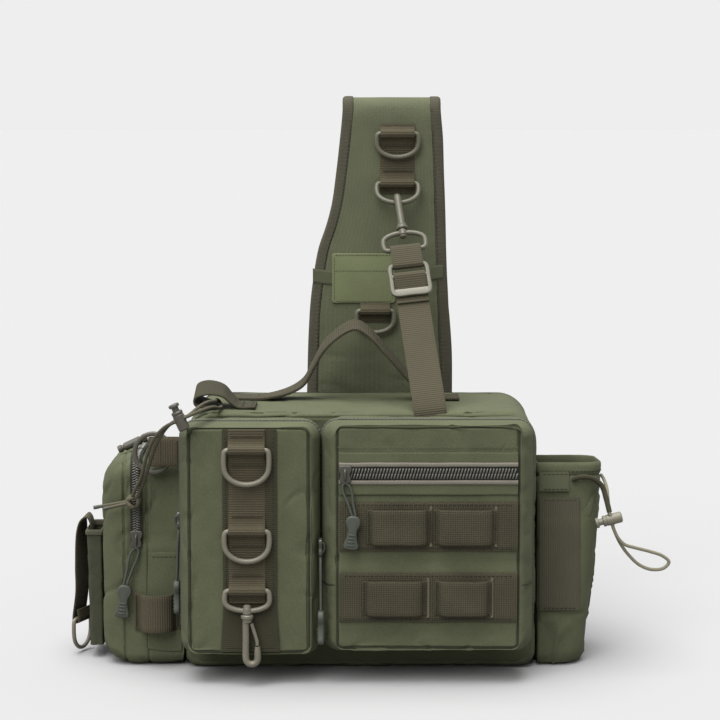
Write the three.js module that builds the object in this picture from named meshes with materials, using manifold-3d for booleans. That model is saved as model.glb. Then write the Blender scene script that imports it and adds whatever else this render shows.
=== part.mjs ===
// A fishing tackle sling bag, in millimetres. X runs to the right seen from the front,
// Y to the back and Z up. The origin is the middle of the main body's flat bottom.
// "Out" means away from the wearer, towards the viewer, which is -Y.

import * as THREE from 'three';
import { mergeVertices } from 'three/addons/utils/BufferGeometryUtils.js';
import Module from 'manifold-3d';

const wasm = await Module();
wasm.setup();

// Cloth, webbing and clearances
const CLOTH = 2;
const WEB = 1.4;
const SEAM = 0.3;
const SLACK = 0.4;

// Main body and its padded back
const BODY_WIDTH = 270;
const BODY_DEPTH = 110;
const BODY_HEIGHT = 199;
const BODY_CORNER = 24;
const BACK_PAD = 8;

// The two front pockets
const POCKET_DEPTH = 50;
const POCKET_CORNER = 12;
const LEFT_MIDDLE = -82;
const LEFT_WIDTH = 105.2;
const LEFT_BOTTOM = 20;
const LEFT_TOP = 196;
const RIGHT_MIDDLE = 50.4;
const RIGHT_WIDTH = 158;
const RIGHT_BOTTOM = 23;
const RIGHT_TOP = 197;

// Pocket on the left end, with the sheath for pliers on it
const END_REACH = 64.5;
const END_DEPTH = 96;
const END_HEIGHT = 164;
const SHEATH_REACH = 13;
const SHEATH_WIDTH = 44;
const SHEATH_BOTTOM = 10;
const SHEATH_HEIGHT = 91;

// Open bottle pocket on the right end
const BOTTLE_REACH = 51.5;
const BOTTLE_DEPTH = 98;
const BOTTLE_HEIGHT = 154;
const BOTTLE_RIM_SLOPE = 0.08;

// Shoulder strap: it rises behind the body, folds over at the top and comes down behind
const STRAP_SEWN_AT = 150;
const STRAP_TOP = 436;
const STRAP_THICKNESS = 7;
const STRAP_MIDDLE = 15;
const STRAP_HALF_WIDTH = 59.5;
const STRAP_FOLD = 7;
const STRAP_BOW = 34;
const STRAP_DRIFT = 36;
const TAIL_WEB_WIDTH = 25;

// Webbing widths
const LADDER_WEB_WIDTH = 27;
const BASE_WEB_WIDTH = 40;
const KEEPER_WEB_WIDTH = 27.4;
const SMALL_KEEPER_WIDTH = 24;
const LOAD_WEB_WIDTH = 25;
const HANDLE_WEB_WIDTH = 25;
const BAND_WEB_WIDTH = 37;
const LOOP_WEB_WIDTH = 26;
const ROD_WEB_WIDTH = 29;

// Metal wire of the rings, bows and snap hooks
const WIRE = 2;
const HOOK_WIRE = 2.2;
const RING_SHOULDER = 2.6;
const BOW_HEIGHT = 15;
const POST = 1.7;
const COLLAR = 4;
const LOWER_HOOK_REACH = 55.3;
const UPPER_HOOK_REACH = 49.5;

// Cords and what is on them
const CORD = 1.3;
const PULLER_CORD = 1;
const LOCK_RADIUS = 4.4;
const LOCK_LENGTH = 15;
const PLUNGER_TRAVEL = 3;

// Faces that other pieces seat on
const FRONT = -BODY_DEPTH / 2;
const BACK = BODY_DEPTH / 2;
const SIDE = BODY_WIDTH / 2;
const POCKET_FACE = FRONT - SEAM - POCKET_DEPTH;
const END_FRONT = -END_DEPTH / 2 - 2;
const END_FACE = -SIDE - SEAM - END_REACH;
const PAD_FACE = BACK + SEAM + BACK_PAD;
const STRAP_FACE = PAD_FACE + SEAM;

const colours = {
  cloth: { color: 0x5b6048, roughness: 0.9, metalness: 0 },
  lining: { color: 0x3a3d30, roughness: 0.9, metalness: 0 },
  patch: { color: 0x757b5a, roughness: 0.9, metalness: 0 },
  webbing: { color: 0x4d473a, roughness: 0.95, metalness: 0 },
  metal: { color: 0x7c766a, roughness: 0.4, metalness: 0.7 },
  rubber: { color: 0x59635a, roughness: 0.7, metalness: 0 },
  zipper: { color: 0x2b2b26, roughness: 0.6, metalness: 0.1 },
  paleCord: { color: 0xb0a98f, roughness: 0.8, metalness: 0 },
  darkCord: { color: 0x7d7463, roughness: 0.8, metalness: 0 },
  paleLock: { color: 0x8f8a73, roughness: 0.6, metalness: 0 },
  darkLock: { color: 0x6a665a, roughness: 0.6, metalness: 0 },
};
const materials = {};
for (const [name, look] of Object.entries(colours)) {
  materials[name] = new THREE.MeshStandardMaterial({ name, ...look });
}

const bag = new THREE.Group();
bag.name = 'fishing_tackle_sling_bag';

function add(parent, name, geometry, material) {
  const mesh = new THREE.Mesh(geometry, material);
  mesh.name = name;
  parent.add(mesh);
  return mesh;
}

function point(x, y, z) {
  return new THREE.Vector3(x, y, z);
}

// Triangles that close a ring of points, with each triangle running the way the ring does.
function capOf(ring) {
  const middle = ring.reduce((sum, p) => sum.add(p), point(0, 0, 0)).divideScalar(ring.length);
  const normal = point(0, 0, 0);
  ring.forEach((p, i) => {
    const next = ring[(i + 1) % ring.length];
    normal.add(p.clone().sub(middle).cross(next.clone().sub(middle)));
  });
  normal.normalize();
  const across = ring[1].clone().sub(ring[0]).normalize();
  const up = normal.clone().cross(across);
  const flat = ring.map((p) => new THREE.Vector2(p.dot(across), p.dot(up)));
  return THREE.ShapeUtils.triangulateShape(flat, []).map((face) => face.sort((a, b) => a - b));
}

// A closed skin through rings of equal length: a loop, or a stack capped at both ends.
function loft(rings, looped = false) {
  const count = rings[0].length;
  const points = rings.flat();
  const faces = [];
  const bands = looped ? rings.length : rings.length - 1;
  for (let i = 0; i < bands; i++) {
    const low = i * count;
    const high = ((i + 1) % rings.length) * count;
    for (let j = 0; j < count; j++) {
      const k = (j + 1) % count;
      faces.push([low + j, high + j, high + k], [low + j, high + k, low + k]);
    }
  }
  if (!looped) {
    const last = (rings.length - 1) * count;
    for (const [a, b, c] of capOf(rings[0])) {
      faces.push([a, b, c]);
    }
    for (const [a, b, c] of capOf(rings.at(-1))) {
      faces.push([last + c, last + b, last + a]);
    }
  }
  const volume = faces.reduce((sum, [a, b, c]) => {
    return sum + points[a].dot(points[b].clone().cross(points[c]));
  }, 0);
  const outward = volume > 0 ? faces : faces.map(([a, b, c]) => [a, c, b]);
  const geometry = new THREE.BufferGeometry().setFromPoints(points);
  geometry.setIndex(outward.flat());
  return geometry;
}

function solidOf(geometry) {
  const bare = geometry.clone();
  bare.deleteAttribute('normal');
  bare.deleteAttribute('uv');
  const merged = mergeVertices(bare, 1e-3);
  return new wasm.Manifold(new wasm.Mesh({
    numProp: 3,
    vertProperties: merged.attributes.position.array,
    triVerts: new Uint32Array(merged.index.array),
  }));
}

function geometryOf(solid) {
  const mesh = solid.getMesh();
  const geometry = new THREE.BufferGeometry();
  geometry.setAttribute('position', new THREE.BufferAttribute(mesh.vertProperties, 3));
  geometry.setIndex(new THREE.BufferAttribute(mesh.triVerts, 1));
  return geometry;
}

// A rounded rectangle, from v = bottom to v = top, whose lower and upper corners may differ.
function outline(halfWidth, bottom, top, lowCorner, highCorner, steps = 3) {
  const corners = [
    { u: -halfWidth + lowCorner, v: bottom + lowCorner, radius: lowCorner, turn: Math.PI },
    { u: halfWidth - lowCorner, v: bottom + lowCorner, radius: lowCorner, turn: Math.PI * 1.5 },
    { u: halfWidth - highCorner, v: top - highCorner, radius: highCorner, turn: 0 },
    { u: -halfWidth + highCorner, v: top - highCorner, radius: highCorner, turn: Math.PI / 2 },
  ];
  const points = [];
  for (const { u, v, radius, turn } of corners) {
    for (let i = 0; i <= steps; i++) {
      const angle = turn + (i / steps) * Math.PI / 2;
      points.push([u + radius * Math.cos(angle), v + radius * Math.sin(angle)]);
    }
  }
  return points;
}

// A cloth shell, open at w = 0 where it is sewn on, whose far edges are rounded.
// "place" turns across, up and outwards into a point of the bag.
const EDGE_STEPS = 3;
function pouch(size, place) {
  const { width, bottom, top, reach, lowCorner, highCorner, edge, pinch } = size;
  const profile = [{ w: 0, share: pinch }, { w: 0.3 * reach, share: 0 }];
  for (let i = 0; i <= EDGE_STEPS; i++) {
    const angle = (i / EDGE_STEPS) * Math.PI / 2;
    profile.push({ w: reach - edge.depth * (1 - Math.sin(angle)), share: 1 - Math.cos(angle) });
  }
  const ring = ({ w, share }, wall) => {
    const out = w * (reach - wall) / reach;
    const shape = outline(
      width / 2 - share * edge.side - wall,
      bottom + share * edge.bottom + wall,
      top - share * edge.top - wall,
      lowCorner - wall,
      highCorner - wall,
    );
    return shape.map(([u, v]) => place(u, v, out));
  };
  const inner = profile.map((row) => ring(row, CLOTH)).reverse();
  const outer = profile.map((row) => ring(row, 0));
  return loft([...inner, ...outer]);
}

// A flat strap along a line of points. "across" is its width direction at each point.
function ribbon(line, across, width, thickness = WEB) {
  const rings = line.map((p, i) => {
    const before = line[Math.max(i - 1, 0)];
    const after = line[Math.min(i + 1, line.length - 1)];
    const along = after.clone().sub(before).normalize();
    const side = (Array.isArray(across) ? across[i] : across).clone().normalize();
    const half = (Array.isArray(width) ? width[i] : width) / 2;
    const face = along.clone().cross(side).normalize();
    const corners = [[-1, -1], [1, -1], [1, 1], [-1, 1]];
    return corners.map(([s, f]) => p.clone()
      .addScaledVector(side, s * half)
      .addScaledVector(face, f * thickness / 2));
  });
  return loft(rings);
}

// A round wire along a flat line of points, looped or with two ends.
function wire(line, radius, normal, looped, sides = 6) {
  const rings = line.map((p, i) => {
    const last = line.length - 1;
    const before = looped ? line[(i + last) % line.length] : line[Math.max(i - 1, 0)];
    const after = looped ? line[(i + 1) % line.length] : line[Math.min(i + 1, last)];
    const along = after.clone().sub(p).normalize().add(p.clone().sub(before).normalize());
    const side = along.normalize().cross(normal).normalize();
    const ring = [];
    for (let j = 0; j < sides; j++) {
      const angle = (j / sides) * Math.PI * 2;
      ring.push(p.clone()
        .addScaledVector(side, radius * Math.cos(angle))
        .addScaledVector(normal, radius * Math.sin(angle)));
    }
    return ring;
  });
  return loft(rings, looped);
}

// A free cord through hand-chosen points, with eight sides.
function cord(route, radius, steps) {
  const section = new THREE.Shape();
  for (let i = 0; i < 8; i++) {
    const angle = (i / 8) * Math.PI * 2;
    const at = [radius * Math.cos(angle), radius * Math.sin(angle)];
    if (i === 0) {
      section.moveTo(...at);
    } else {
      section.lineTo(...at);
    }
  }
  const path = new THREE.CatmullRomCurve3(route.map((row) => point(...row)));
  return new THREE.ExtrudeGeometry(section, { steps, extrudePath: path, bevelEnabled: false });
}

// A plate with rounded edges, drawn in X and Z, whose middle plane is at y = 0.
function plate(shape, thickness, bevel) {
  const geometry = new THREE.ExtrudeGeometry(shape, {
    depth: thickness - 2 * bevel,
    bevelEnabled: true,
    bevelThickness: bevel,
    bevelSize: bevel,
    bevelOffset: -bevel,
    bevelSegments: 1,
    curveSegments: 3,
  });
  geometry.translate(0, 0, -thickness / 2 + bevel);
  geometry.rotateX(Math.PI / 2);
  return geometry;
}

function roundedShape(left, right, bottom, top, radius) {
  const shape = new THREE.Shape();
  shape.moveTo(left + radius, bottom);
  shape.lineTo(right - radius, bottom);
  shape.quadraticCurveTo(right, bottom, right, bottom + radius);
  shape.lineTo(right, top - radius);
  shape.quadraticCurveTo(right, top, right - radius, top);
  shape.lineTo(left + radius, top);
  shape.quadraticCurveTo(left, top, left, top - radius);
  shape.lineTo(left, bottom + radius);
  shape.quadraticCurveTo(left, bottom, left + radius, bottom);
  return shape;
}

// The line of a D ring: a bar along the top, two arms and a half-oval below.
const BOWL_STEPS = 7;
function ringLine(halfWidth, height, bowl) {
  const line = [
    point(-halfWidth + RING_SHOULDER, 0, 0),
    point(halfWidth - RING_SHOULDER, 0, 0),
    point(halfWidth, 0, -1.4 * RING_SHOULDER),
  ];
  for (let i = 0; i <= BOWL_STEPS; i++) {
    const angle = (i / BOWL_STEPS) * Math.PI;
    line.push(point(halfWidth * Math.cos(angle), 0, -(height - bowl) - bowl * Math.sin(angle)));
  }
  line.push(point(-halfWidth, 0, -1.4 * RING_SHOULDER));
  return line;
}

const ACROSS = point(1, 0, 0);
const BACKWARD = point(0, 1, 0);
const UPWARD = point(0, 0, 1);

// Main body: a cloth box that is open behind, where the padded back closes it
const bodySize = {
  width: BODY_WIDTH, bottom: 0, top: BODY_HEIGHT, reach: BODY_DEPTH,
  lowCorner: 12, highCorner: BODY_CORNER,
  edge: { depth: 6, side: 5, top: 5, bottom: 5 }, pinch: 0,
};
add(bag, 'main_body', pouch(bodySize, (u, v, w) => point(u, BACK - w, v)), materials.cloth);

const PAD_ROWS = [
  { out: 0, inset: 0.25 },
  { out: 0.25, inset: 0 },
  { out: 0.7, inset: 0 },
  { out: 1, inset: 0.4 },
];
function backPanel() {
  const rings = PAD_ROWS.map(({ out, inset }) => {
    const gap = inset * BACK_PAD;
    const shape = outline(SIDE - gap, gap, BODY_HEIGHT - gap, 12, BODY_CORNER);
    return shape.map(([u, v]) => point(u, BACK + SEAM + out * BACK_PAD, v));
  });
  return loft(rings);
}
add(bag, 'back_panel', backPanel(), materials.cloth);

// Front pockets
function frontPocket(name, middle, width, bottom, top, sideRound) {
  const size = {
    width, bottom, top, reach: POCKET_DEPTH, lowCorner: POCKET_CORNER, highCorner: POCKET_CORNER,
    edge: { depth: 22, side: sideRound, top: 2.5, bottom: 5 }, pinch: 0.4,
  };
  const place = (u, v, w) => point(middle + u, FRONT - SEAM - w, v);
  add(bag, name, pouch(size, place), materials.cloth);
}
frontPocket('left_pocket', LEFT_MIDDLE, LEFT_WIDTH, LEFT_BOTTOM, LEFT_TOP, 8.5);
frontPocket('right_pocket', RIGHT_MIDDLE, RIGHT_WIDTH, RIGHT_BOTTOM, RIGHT_TOP, 12);

// Pocket on the left end
const endSize = {
  width: END_DEPTH, bottom: 0, top: END_HEIGHT, reach: END_REACH, lowCorner: 10, highCorner: 16,
  edge: { depth: 26, side: 14, top: 26, bottom: 18 }, pinch: 0,
};
const END_MIDDLE = END_FRONT + END_DEPTH / 2;
const endPlace = (u, v, w) => point(-SIDE - SEAM - w, END_MIDDLE + u, v);
add(bag, 'end_pocket', pouch(endSize, endPlace), materials.cloth);

// Sheath for pliers, an open sleeve on the end pocket
const SHEATH_MIDDLE = END_MIDDLE;
const SHEATH_TOP = SHEATH_BOTTOM + SHEATH_HEIGHT;
const SHEATH_FACE = END_FACE - SEAM - SHEATH_REACH;
function plierSheath() {
  const ring = (z, wall, taper) => {
    const shape = outline(SHEATH_WIDTH / 2 - wall, wall, SHEATH_REACH - wall - taper, 2, 3, 2);
    return shape.map(([u, v]) => point(END_FACE - SEAM - v, SHEATH_MIDDLE + u, z));
  };
  return loft([
    ring(SHEATH_BOTTOM, 0, 2),
    ring(SHEATH_TOP, 0, 0),
    ring(SHEATH_TOP, CLOTH - 0.5, 0),
    ring(SHEATH_BOTTOM + CLOTH, CLOTH - 0.5, 2),
  ]);
}
add(bag, 'plier_sheath', plierSheath(), materials.lining);

// Bottle pocket: an open tapered tube on the right end
const BOTTLE_ROWS = [
  { rise: 0, reach: 0.66, depth: 0.93 },
  { rise: 0.05, reach: 0.74, depth: 1 },
  { rise: 0.3, reach: 0.83, depth: 1 },
  { rise: 0.7, reach: 0.96, depth: 0.92 },
  { rise: 1, reach: 1, depth: 0.76 },
];
const BOTTLE_CORNER = 17;
function bottleRow(rise) {
  const above = BOTTLE_ROWS.findIndex((row) => row.rise >= rise);
  const high = BOTTLE_ROWS[above];
  const low = BOTTLE_ROWS[Math.max(above - 1, 0)];
  const share = high.rise > low.rise ? (rise - low.rise) / (high.rise - low.rise) : 0;
  return {
    rise,
    reach: THREE.MathUtils.lerp(low.reach, high.reach, share),
    depth: THREE.MathUtils.lerp(low.depth, high.depth, share),
  };
}
function bottlePlace(rise, u, v) {
  const lift = rise * (BOTTLE_HEIGHT - BOTTLE_RIM_SLOPE * u);
  return point(SIDE + SEAM + v, u, lift);
}
function bottleRing({ rise, reach, depth }, wall) {
  const half = depth * BOTTLE_DEPTH / 2 - wall;
  const far = reach * BOTTLE_REACH - wall;
  const shape = outline(half, wall, far, 3, BOTTLE_CORNER);
  return shape.map(([u, v]) => bottlePlace(rise, u, v));
}
function bottlePocket() {
  const outer = BOTTLE_ROWS.map((row) => bottleRing(row, 0));
  const floorRise = CLOTH / BOTTLE_HEIGHT;
  const inner = [bottleRow(floorRise), ...BOTTLE_ROWS.slice(1)].map((row) => bottleRing(row, CLOTH));
  return loft([...outer, ...inner.reverse()]);
}
add(bag, 'bottle_pocket', bottlePocket(), materials.cloth);

// Webbing patches on the bottle pocket's front, laid on its flat stretch
const BOTTLE_PATCHES = [
  { name: 'bottle_patch_lower', low: 0.28, high: 0.83, far: 1 },
  { name: 'bottle_patch_upper', low: 0.86, high: 0.955, far: 0.72 },
];
function bottlePatch({ low, high, far }) {
  const rises = [low, ...BOTTLE_ROWS.map((row) => row.rise).filter((r) => r > low && r < high), high];
  const rings = rises.map((rise) => {
    const { reach, depth } = bottleRow(rise);
    const front = -depth * BOTTLE_DEPTH / 2;
    const flatEnd = reach * BOTTLE_REACH - BOTTLE_CORNER;
    const spots = [
      { v: 3, out: SEAM },
      { v: 3 + far * (flatEnd - 3), out: SEAM },
      { v: 3 + far * (flatEnd - 3), out: SEAM + WEB },
      { v: 3, out: SEAM + WEB },
    ];
    return spots.map(({ v, out }) => bottlePlace(rise, front, v).add(point(0, -out, 0)));
  });
  return loft(rings);
}
for (const row of BOTTLE_PATCHES) {
  add(bag, row.name, bottlePatch(row), materials.webbing);
}

// Shoulder strap, from its sewn end up over the fold and down behind
const STRAP_RISE = STRAP_TOP - STRAP_SEWN_AT;
const FRONT_LEAF = [
  { rise: 0, left: 1, right: 1 },
  { rise: 0.22, left: 0.96, right: 0.98 },
  { rise: 0.42, left: 0.92, right: 0.94 },
  { rise: 0.57, left: 0.81, right: 0.91 },
  { rise: 0.64, left: 0.7, right: 0.9 },
  { rise: 0.71, left: 0.62, right: 0.89 },
  { rise: 0.8, left: 0.56, right: 0.875 },
  { rise: 0.89, left: 0.51, right: 0.855 },
];
const BACK_LEAF = [
  { fall: 0.12, left: 0.45, right: 0.8, bow: 0.25, drift: 0.08 },
  { fall: 0.3, left: 0.42, right: 0.76, bow: 0.75, drift: 0.2 },
  { fall: 0.5, left: 0.38, right: 0.7, bow: 1, drift: 0.4 },
  { fall: 0.72, left: 0.3, right: 0.6, bow: 0.95, drift: 0.7 },
  { fall: 0.95, left: 0.18, right: 0.42, bow: 0.62, drift: 1 },
];
const STRAP_MID_Y = STRAP_FACE + STRAP_THICKNESS / 2;
const FOLD_TOP_Z = STRAP_TOP - STRAP_THICKNESS / 2 - STRAP_FOLD;
const FOLD_STEPS = 4;
function strapRows() {
  const rows = FRONT_LEAF.map(({ rise, left, right }) => ({
    y: STRAP_MID_Y, z: STRAP_SEWN_AT + rise * STRAP_RISE, left, right, shift: 0,
  }));
  for (let i = 0; i <= FOLD_STEPS; i++) {
    const angle = (i / FOLD_STEPS) * Math.PI;
    rows.push({
      y: STRAP_MID_Y + STRAP_FOLD * (1 - Math.cos(angle)),
      z: FOLD_TOP_Z + STRAP_FOLD * Math.sin(angle),
      left: 0.48,
      right: 0.83,
      shift: 0,
    });
  }
  for (const { fall, left, right, bow, drift } of BACK_LEAF) {
    rows.push({
      y: STRAP_MID_Y + 2 * STRAP_FOLD + bow * STRAP_BOW,
      z: FOLD_TOP_Z - fall * (FOLD_TOP_Z - STRAP_SEWN_AT),
      left,
      right,
      shift: drift * STRAP_DRIFT,
    });
  }
  return rows;
}
const strapLine = strapRows().map(({ y, z, left, right, shift }) => ({
  middle: point(STRAP_MIDDLE + shift + (right - left) * STRAP_HALF_WIDTH / 2, y, z),
  width: (left + right) * STRAP_HALF_WIDTH,
}));
const strapGeometry = ribbon(
  strapLine.map((row) => row.middle),
  ACROSS,
  strapLine.map((row) => row.width),
  STRAP_THICKNESS,
);
add(bag, 'shoulder_strap', strapGeometry, materials.cloth);

// Webbing tail from the strap's lower end to the back panel's lower corner
const TAIL_FOOT_X = 104;
const TAIL_FOOT_Z = 26;
function strapTail() {
  const end = strapLine.at(-1).middle;
  const heading = end.clone().sub(strapLine.at(-2).middle).normalize();
  const start = end.clone().addScaledVector(heading, SEAM);
  const layer = PAD_FACE + SEAM + WEB / 2;
  const line = [
    start,
    start.clone().addScaledVector(heading, 14),
    point(TAIL_FOOT_X - 26, (start.y + layer) / 2 - 2, TAIL_FOOT_Z + 66),
    point(TAIL_FOOT_X - 12, layer, TAIL_FOOT_Z + 32),
    point(TAIL_FOOT_X, layer, TAIL_FOOT_Z),
  ];
  const slant = point(0.9, 0, 0.43);
  return ribbon(line, [ACROSS, ACROSS, slant, slant, slant], TAIL_WEB_WIDTH);
}
add(bag, 'strap_tail', strapTail(), materials.webbing);

// A webbing strip on an outward face, with folds that carry bars lying across it.
// The strip's own middle plane is at y = layer; each bar lies FOLD_OUT in front of that.
const FOLD_OUT = WIRE + SLACK + WEB / 2;
function keeper(x, layer, top, bottom, bars, width) {
  const line = [point(x, layer, top)];
  for (const bar of bars) {
    line.push(point(x, layer, Math.min(bar + 2.1 * FOLD_OUT, top - 0.5)));
    for (let i = 0; i <= 6; i++) {
      const angle = THREE.MathUtils.degToRad(105 - i * 35);
      line.push(point(
        x,
        layer - FOLD_OUT - FOLD_OUT * Math.cos(angle),
        bar + FOLD_OUT * Math.sin(angle),
      ));
    }
    line.push(point(x, layer, bar - 2.1 * FOLD_OUT));
  }
  line.push(point(x, layer, bottom));
  return ribbon(line, ACROSS, width);
}

// A ring's bar is as long as its webbing is wide, with some slack.
function halfRing(webWidth) {
  return webWidth / 2 + SLACK + RING_SHOULDER;
}

function ringGeometry({ web, height, bowl }) {
  return wire(ringLine(halfRing(web), height, bowl), WIRE, BACKWARD, true);
}

function dRing(name, x, layer, size) {
  const group = new THREE.Group();
  group.position.set(x, layer - FOLD_OUT, size.bar);
  bag.add(group);
  add(group, name, ringGeometry(size), materials.metal);
}

// Left pocket: wide base webbing, the ladder of narrow webbing and its two rings
const LADDER_X = -83.5;
const LADDER_TOP = LEFT_TOP - 3;
const BASE_BOTTOM = LEFT_BOTTOM + 6;
const BASE_LAYER = POCKET_FACE - SEAM - WEB / 2;
const LADDER_LAYER = BASE_LAYER - WEB - SEAM;
const RING_A = { bar: 178, web: LADDER_WEB_WIDTH, height: 25.5, bowl: 13 };
const RING_B = { bar: 117.5, web: LADDER_WEB_WIDTH, height: 22.5, bowl: 13 };
const HOOK_BAR = 73;
const baseLine = [
  { z: LADDER_TOP, width: 1 },
  { z: 60, width: 1 },
  { z: BASE_BOTTOM, width: 1.1 },
];
const baseWebbing = ribbon(
  baseLine.map(({ z }) => point(LADDER_X + 2, BASE_LAYER, z)),
  ACROSS,
  baseLine.map(({ width }) => width * BASE_WEB_WIDTH),
);
add(bag, 'base_webbing', baseWebbing, materials.webbing);
const ladderBars = [RING_A.bar, RING_B.bar, HOOK_BAR];
const ladderEnd = HOOK_BAR - 10;
add(
  bag,
  'ladder_webbing',
  keeper(LADDER_X, LADDER_LAYER, LADDER_TOP, ladderEnd, ladderBars, LADDER_WEB_WIDTH),
  materials.webbing,
);
dRing('d_ring_a', LADDER_X, LADDER_LAYER, RING_A);
dRing('d_ring_b', LADDER_X, LADDER_LAYER, RING_B);

// Snap hook: an oval bow with a bored boss, a swivelling hook and its gate.
// It is drawn hanging down from its bar, which lies along X at the origin.
const BOSS_TOP = -BOW_HEIGHT + 2.5;
const BOSS_BOTTOM = -BOW_HEIGHT - 2.5;
const COLLAR_TOP = BOSS_BOTTOM - SEAM;
const COLLAR_BOTTOM = COLLAR_TOP - 6;
const SHANK_X = -1;
const THROAT = 4.3;
const GATE_RADIUS = 1.4;
const GATE_X = 3.6;
const GATE_TOP = COLLAR_BOTTOM - 2;
const HOOK_TIP_RISE = 9;
const TIP_GAP = 1.1;
function hookBow() {
  const ring = solidOf(ringGeometry({ web: LADDER_WEB_WIDTH, height: BOW_HEIGHT, bowl: 7 }));
  const tall = BOSS_TOP - BOSS_BOTTOM;
  const boss = new THREE.CylinderGeometry(POST + SEAM + 1.5, POST + SEAM + 1.5, tall, 10);
  const bore = new THREE.CylinderGeometry(POST + SEAM, POST + SEAM, tall + 4, 10);
  for (const cylinder of [boss, bore]) {
    cylinder.rotateX(Math.PI / 2);
    cylinder.translate(0, 0, -BOW_HEIGHT);
  }
  return geometryOf(ring.add(solidOf(boss)).subtract(solidOf(bore)));
}
function hookBody(reach) {
  const profile = [
    [0, BOSS_TOP + SEAM + 2],
    [3, BOSS_TOP + SEAM + 1.6],
    [3, BOSS_TOP + SEAM],
    [POST, BOSS_TOP + SEAM],
    [POST, COLLAR_TOP],
    [COLLAR, COLLAR_TOP],
    [COLLAR, COLLAR_BOTTOM + 1],
    [COLLAR - 1, COLLAR_BOTTOM],
    [0, COLLAR_BOTTOM],
  ];
  const spindle = new THREE.LatheGeometry(profile.map(([r, z]) => new THREE.Vector2(r, z)).reverse(), 10);
  spindle.rotateX(Math.PI / 2);
  const bendZ = -reach + THROAT;
  const line = [point(SHANK_X, 0, COLLAR_BOTTOM + 2)];
  for (let i = 0; i <= 6; i++) {
    const angle = Math.PI + (i / 6) * Math.PI;
    line.push(point(
      SHANK_X + THROAT + THROAT * Math.cos(angle),
      0,
      bendZ + THROAT * Math.sin(angle),
    ));
  }
  line.push(point(SHANK_X + 2 * THROAT, 0, bendZ + HOOK_TIP_RISE));
  return geometryOf(solidOf(spindle).add(solidOf(wire(line, HOOK_WIRE, BACKWARD, false))));
}
function hookGate(reach) {
  const tip = -reach + THROAT + HOOK_TIP_RISE + TIP_GAP;
  const line = [
    point(GATE_X - 0.4, 0, GATE_TOP + 1.4),
    point(GATE_X, 0, GATE_TOP),
    point(SHANK_X + 2 * THROAT - 0.4, 0, tip + 3),
    point(SHANK_X + 2 * THROAT - 0.2, 0, tip),
  ];
  return wire(line, GATE_RADIUS, BACKWARD, false);
}

const lowerHook = new THREE.Group();
lowerHook.position.set(LADDER_X, LADDER_LAYER - FOLD_OUT, HOOK_BAR);
bag.add(lowerHook);
add(lowerHook, 'hook_bow_lower', hookBow(), materials.metal);
add(lowerHook, 'snap_hook_lower', hookBody(LOWER_HOOK_REACH), materials.metal);
add(lowerHook, 'hook_gate_lower', hookGate(LOWER_HOOK_REACH), materials.metal);

// Right pocket: two rows of webbing with raised loops, and the zipper
const BAND_LIFT = 7;
const UPPER_LOOPS = [
  { from: 0.177, to: 0.5 },
  { from: 0.548, to: 0.865 },
];
const LOWER_LOOPS = [
  { from: 0.15, to: 0.475 },
  { from: 0.557, to: 0.84 },
];
const BAND_SHAPE = [
  { along: 0.06, lift: 0 },
  { along: 0.16, lift: 0.75 },
  { along: 0.35, lift: 1 },
  { along: 0.65, lift: 1 },
  { along: 0.84, lift: 0.75 },
  { along: 0.94, lift: 0 },
];
const BAND_LEFT = RIGHT_MIDDLE - RIGHT_WIDTH / 2 + 13;
const BAND_LENGTH = RIGHT_WIDTH - 26;
function webbingBand(middleZ, loops) {
  const base = new THREE.BoxGeometry(BAND_LENGTH, WEB, BAND_WEB_WIDTH);
  base.translate(BAND_LEFT + BAND_LENGTH / 2, BASE_LAYER, middleZ);
  let band = solidOf(base);
  const layer = BASE_LAYER - WEB * 0.9;
  for (const { from, to } of loops) {
    const line = [point(BAND_LEFT + (from - 0.025) * BAND_LENGTH, layer, middleZ)];
    for (const { along, lift } of BAND_SHAPE) {
      const x = BAND_LEFT + THREE.MathUtils.lerp(from, to, along) * BAND_LENGTH;
      line.push(point(x, layer - lift * BAND_LIFT, middleZ));
    }
    line.push(point(BAND_LEFT + (to + 0.025) * BAND_LENGTH, layer, middleZ));
    band = band.add(solidOf(ribbon(line, UPWARD, LOOP_WEB_WIDTH)));
  }
  return geometryOf(band);
}
const UPPER_BAND_Z = 120.5;
const LOWER_BAND_Z = 67;
add(bag, 'band_upper', webbingBand(UPPER_BAND_Z, UPPER_LOOPS), materials.webbing);
add(bag, 'band_lower', webbingBand(LOWER_BAND_Z, LOWER_LOOPS), materials.webbing);

const ZIP_Z = 160;
const ZIP_HEIGHT = 18;
const ZIP_THICKNESS = 1.6;
const zipShape = roundedShape(BAND_LEFT, BAND_LEFT + BAND_LENGTH, -ZIP_HEIGHT / 2, ZIP_HEIGHT / 2, 2);
const frontZipper = plate(zipShape, ZIP_THICKNESS, SLACK);
frontZipper.translate(0, POCKET_FACE - SEAM - ZIP_THICKNESS / 2, ZIP_Z);
add(bag, 'front_zipper', frontZipper, materials.zipper);

// Zipper pullers: a slider on the zipper, a short cord and a rubber tab.
// A slider or tab is turned to lie flat on a front face or on a gusset.
const SLIDER = { width: 8, height: 11, thickness: 2.6 };
const TAB = { width: 10.5, length: 25, thickness: 4.6 };
function tabShape() {
  const half = TAB.width / 2;
  const shape = new THREE.Shape();
  shape.moveTo(-0.35 * half, 0);
  shape.lineTo(0.35 * half, 0);
  shape.lineTo(0.95 * half, -0.22 * TAB.length);
  shape.lineTo(0.6 * half, -0.42 * TAB.length);
  shape.lineTo(half, -0.9 * TAB.length);
  shape.lineTo(0.7 * half, -TAB.length);
  shape.lineTo(-0.7 * half, -TAB.length);
  shape.lineTo(-half, -0.9 * TAB.length);
  shape.lineTo(-0.6 * half, -0.42 * TAB.length);
  shape.lineTo(-0.95 * half, -0.22 * TAB.length);
  return shape;
}
const GUSSET_TURN = Math.PI / 2;
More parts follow.
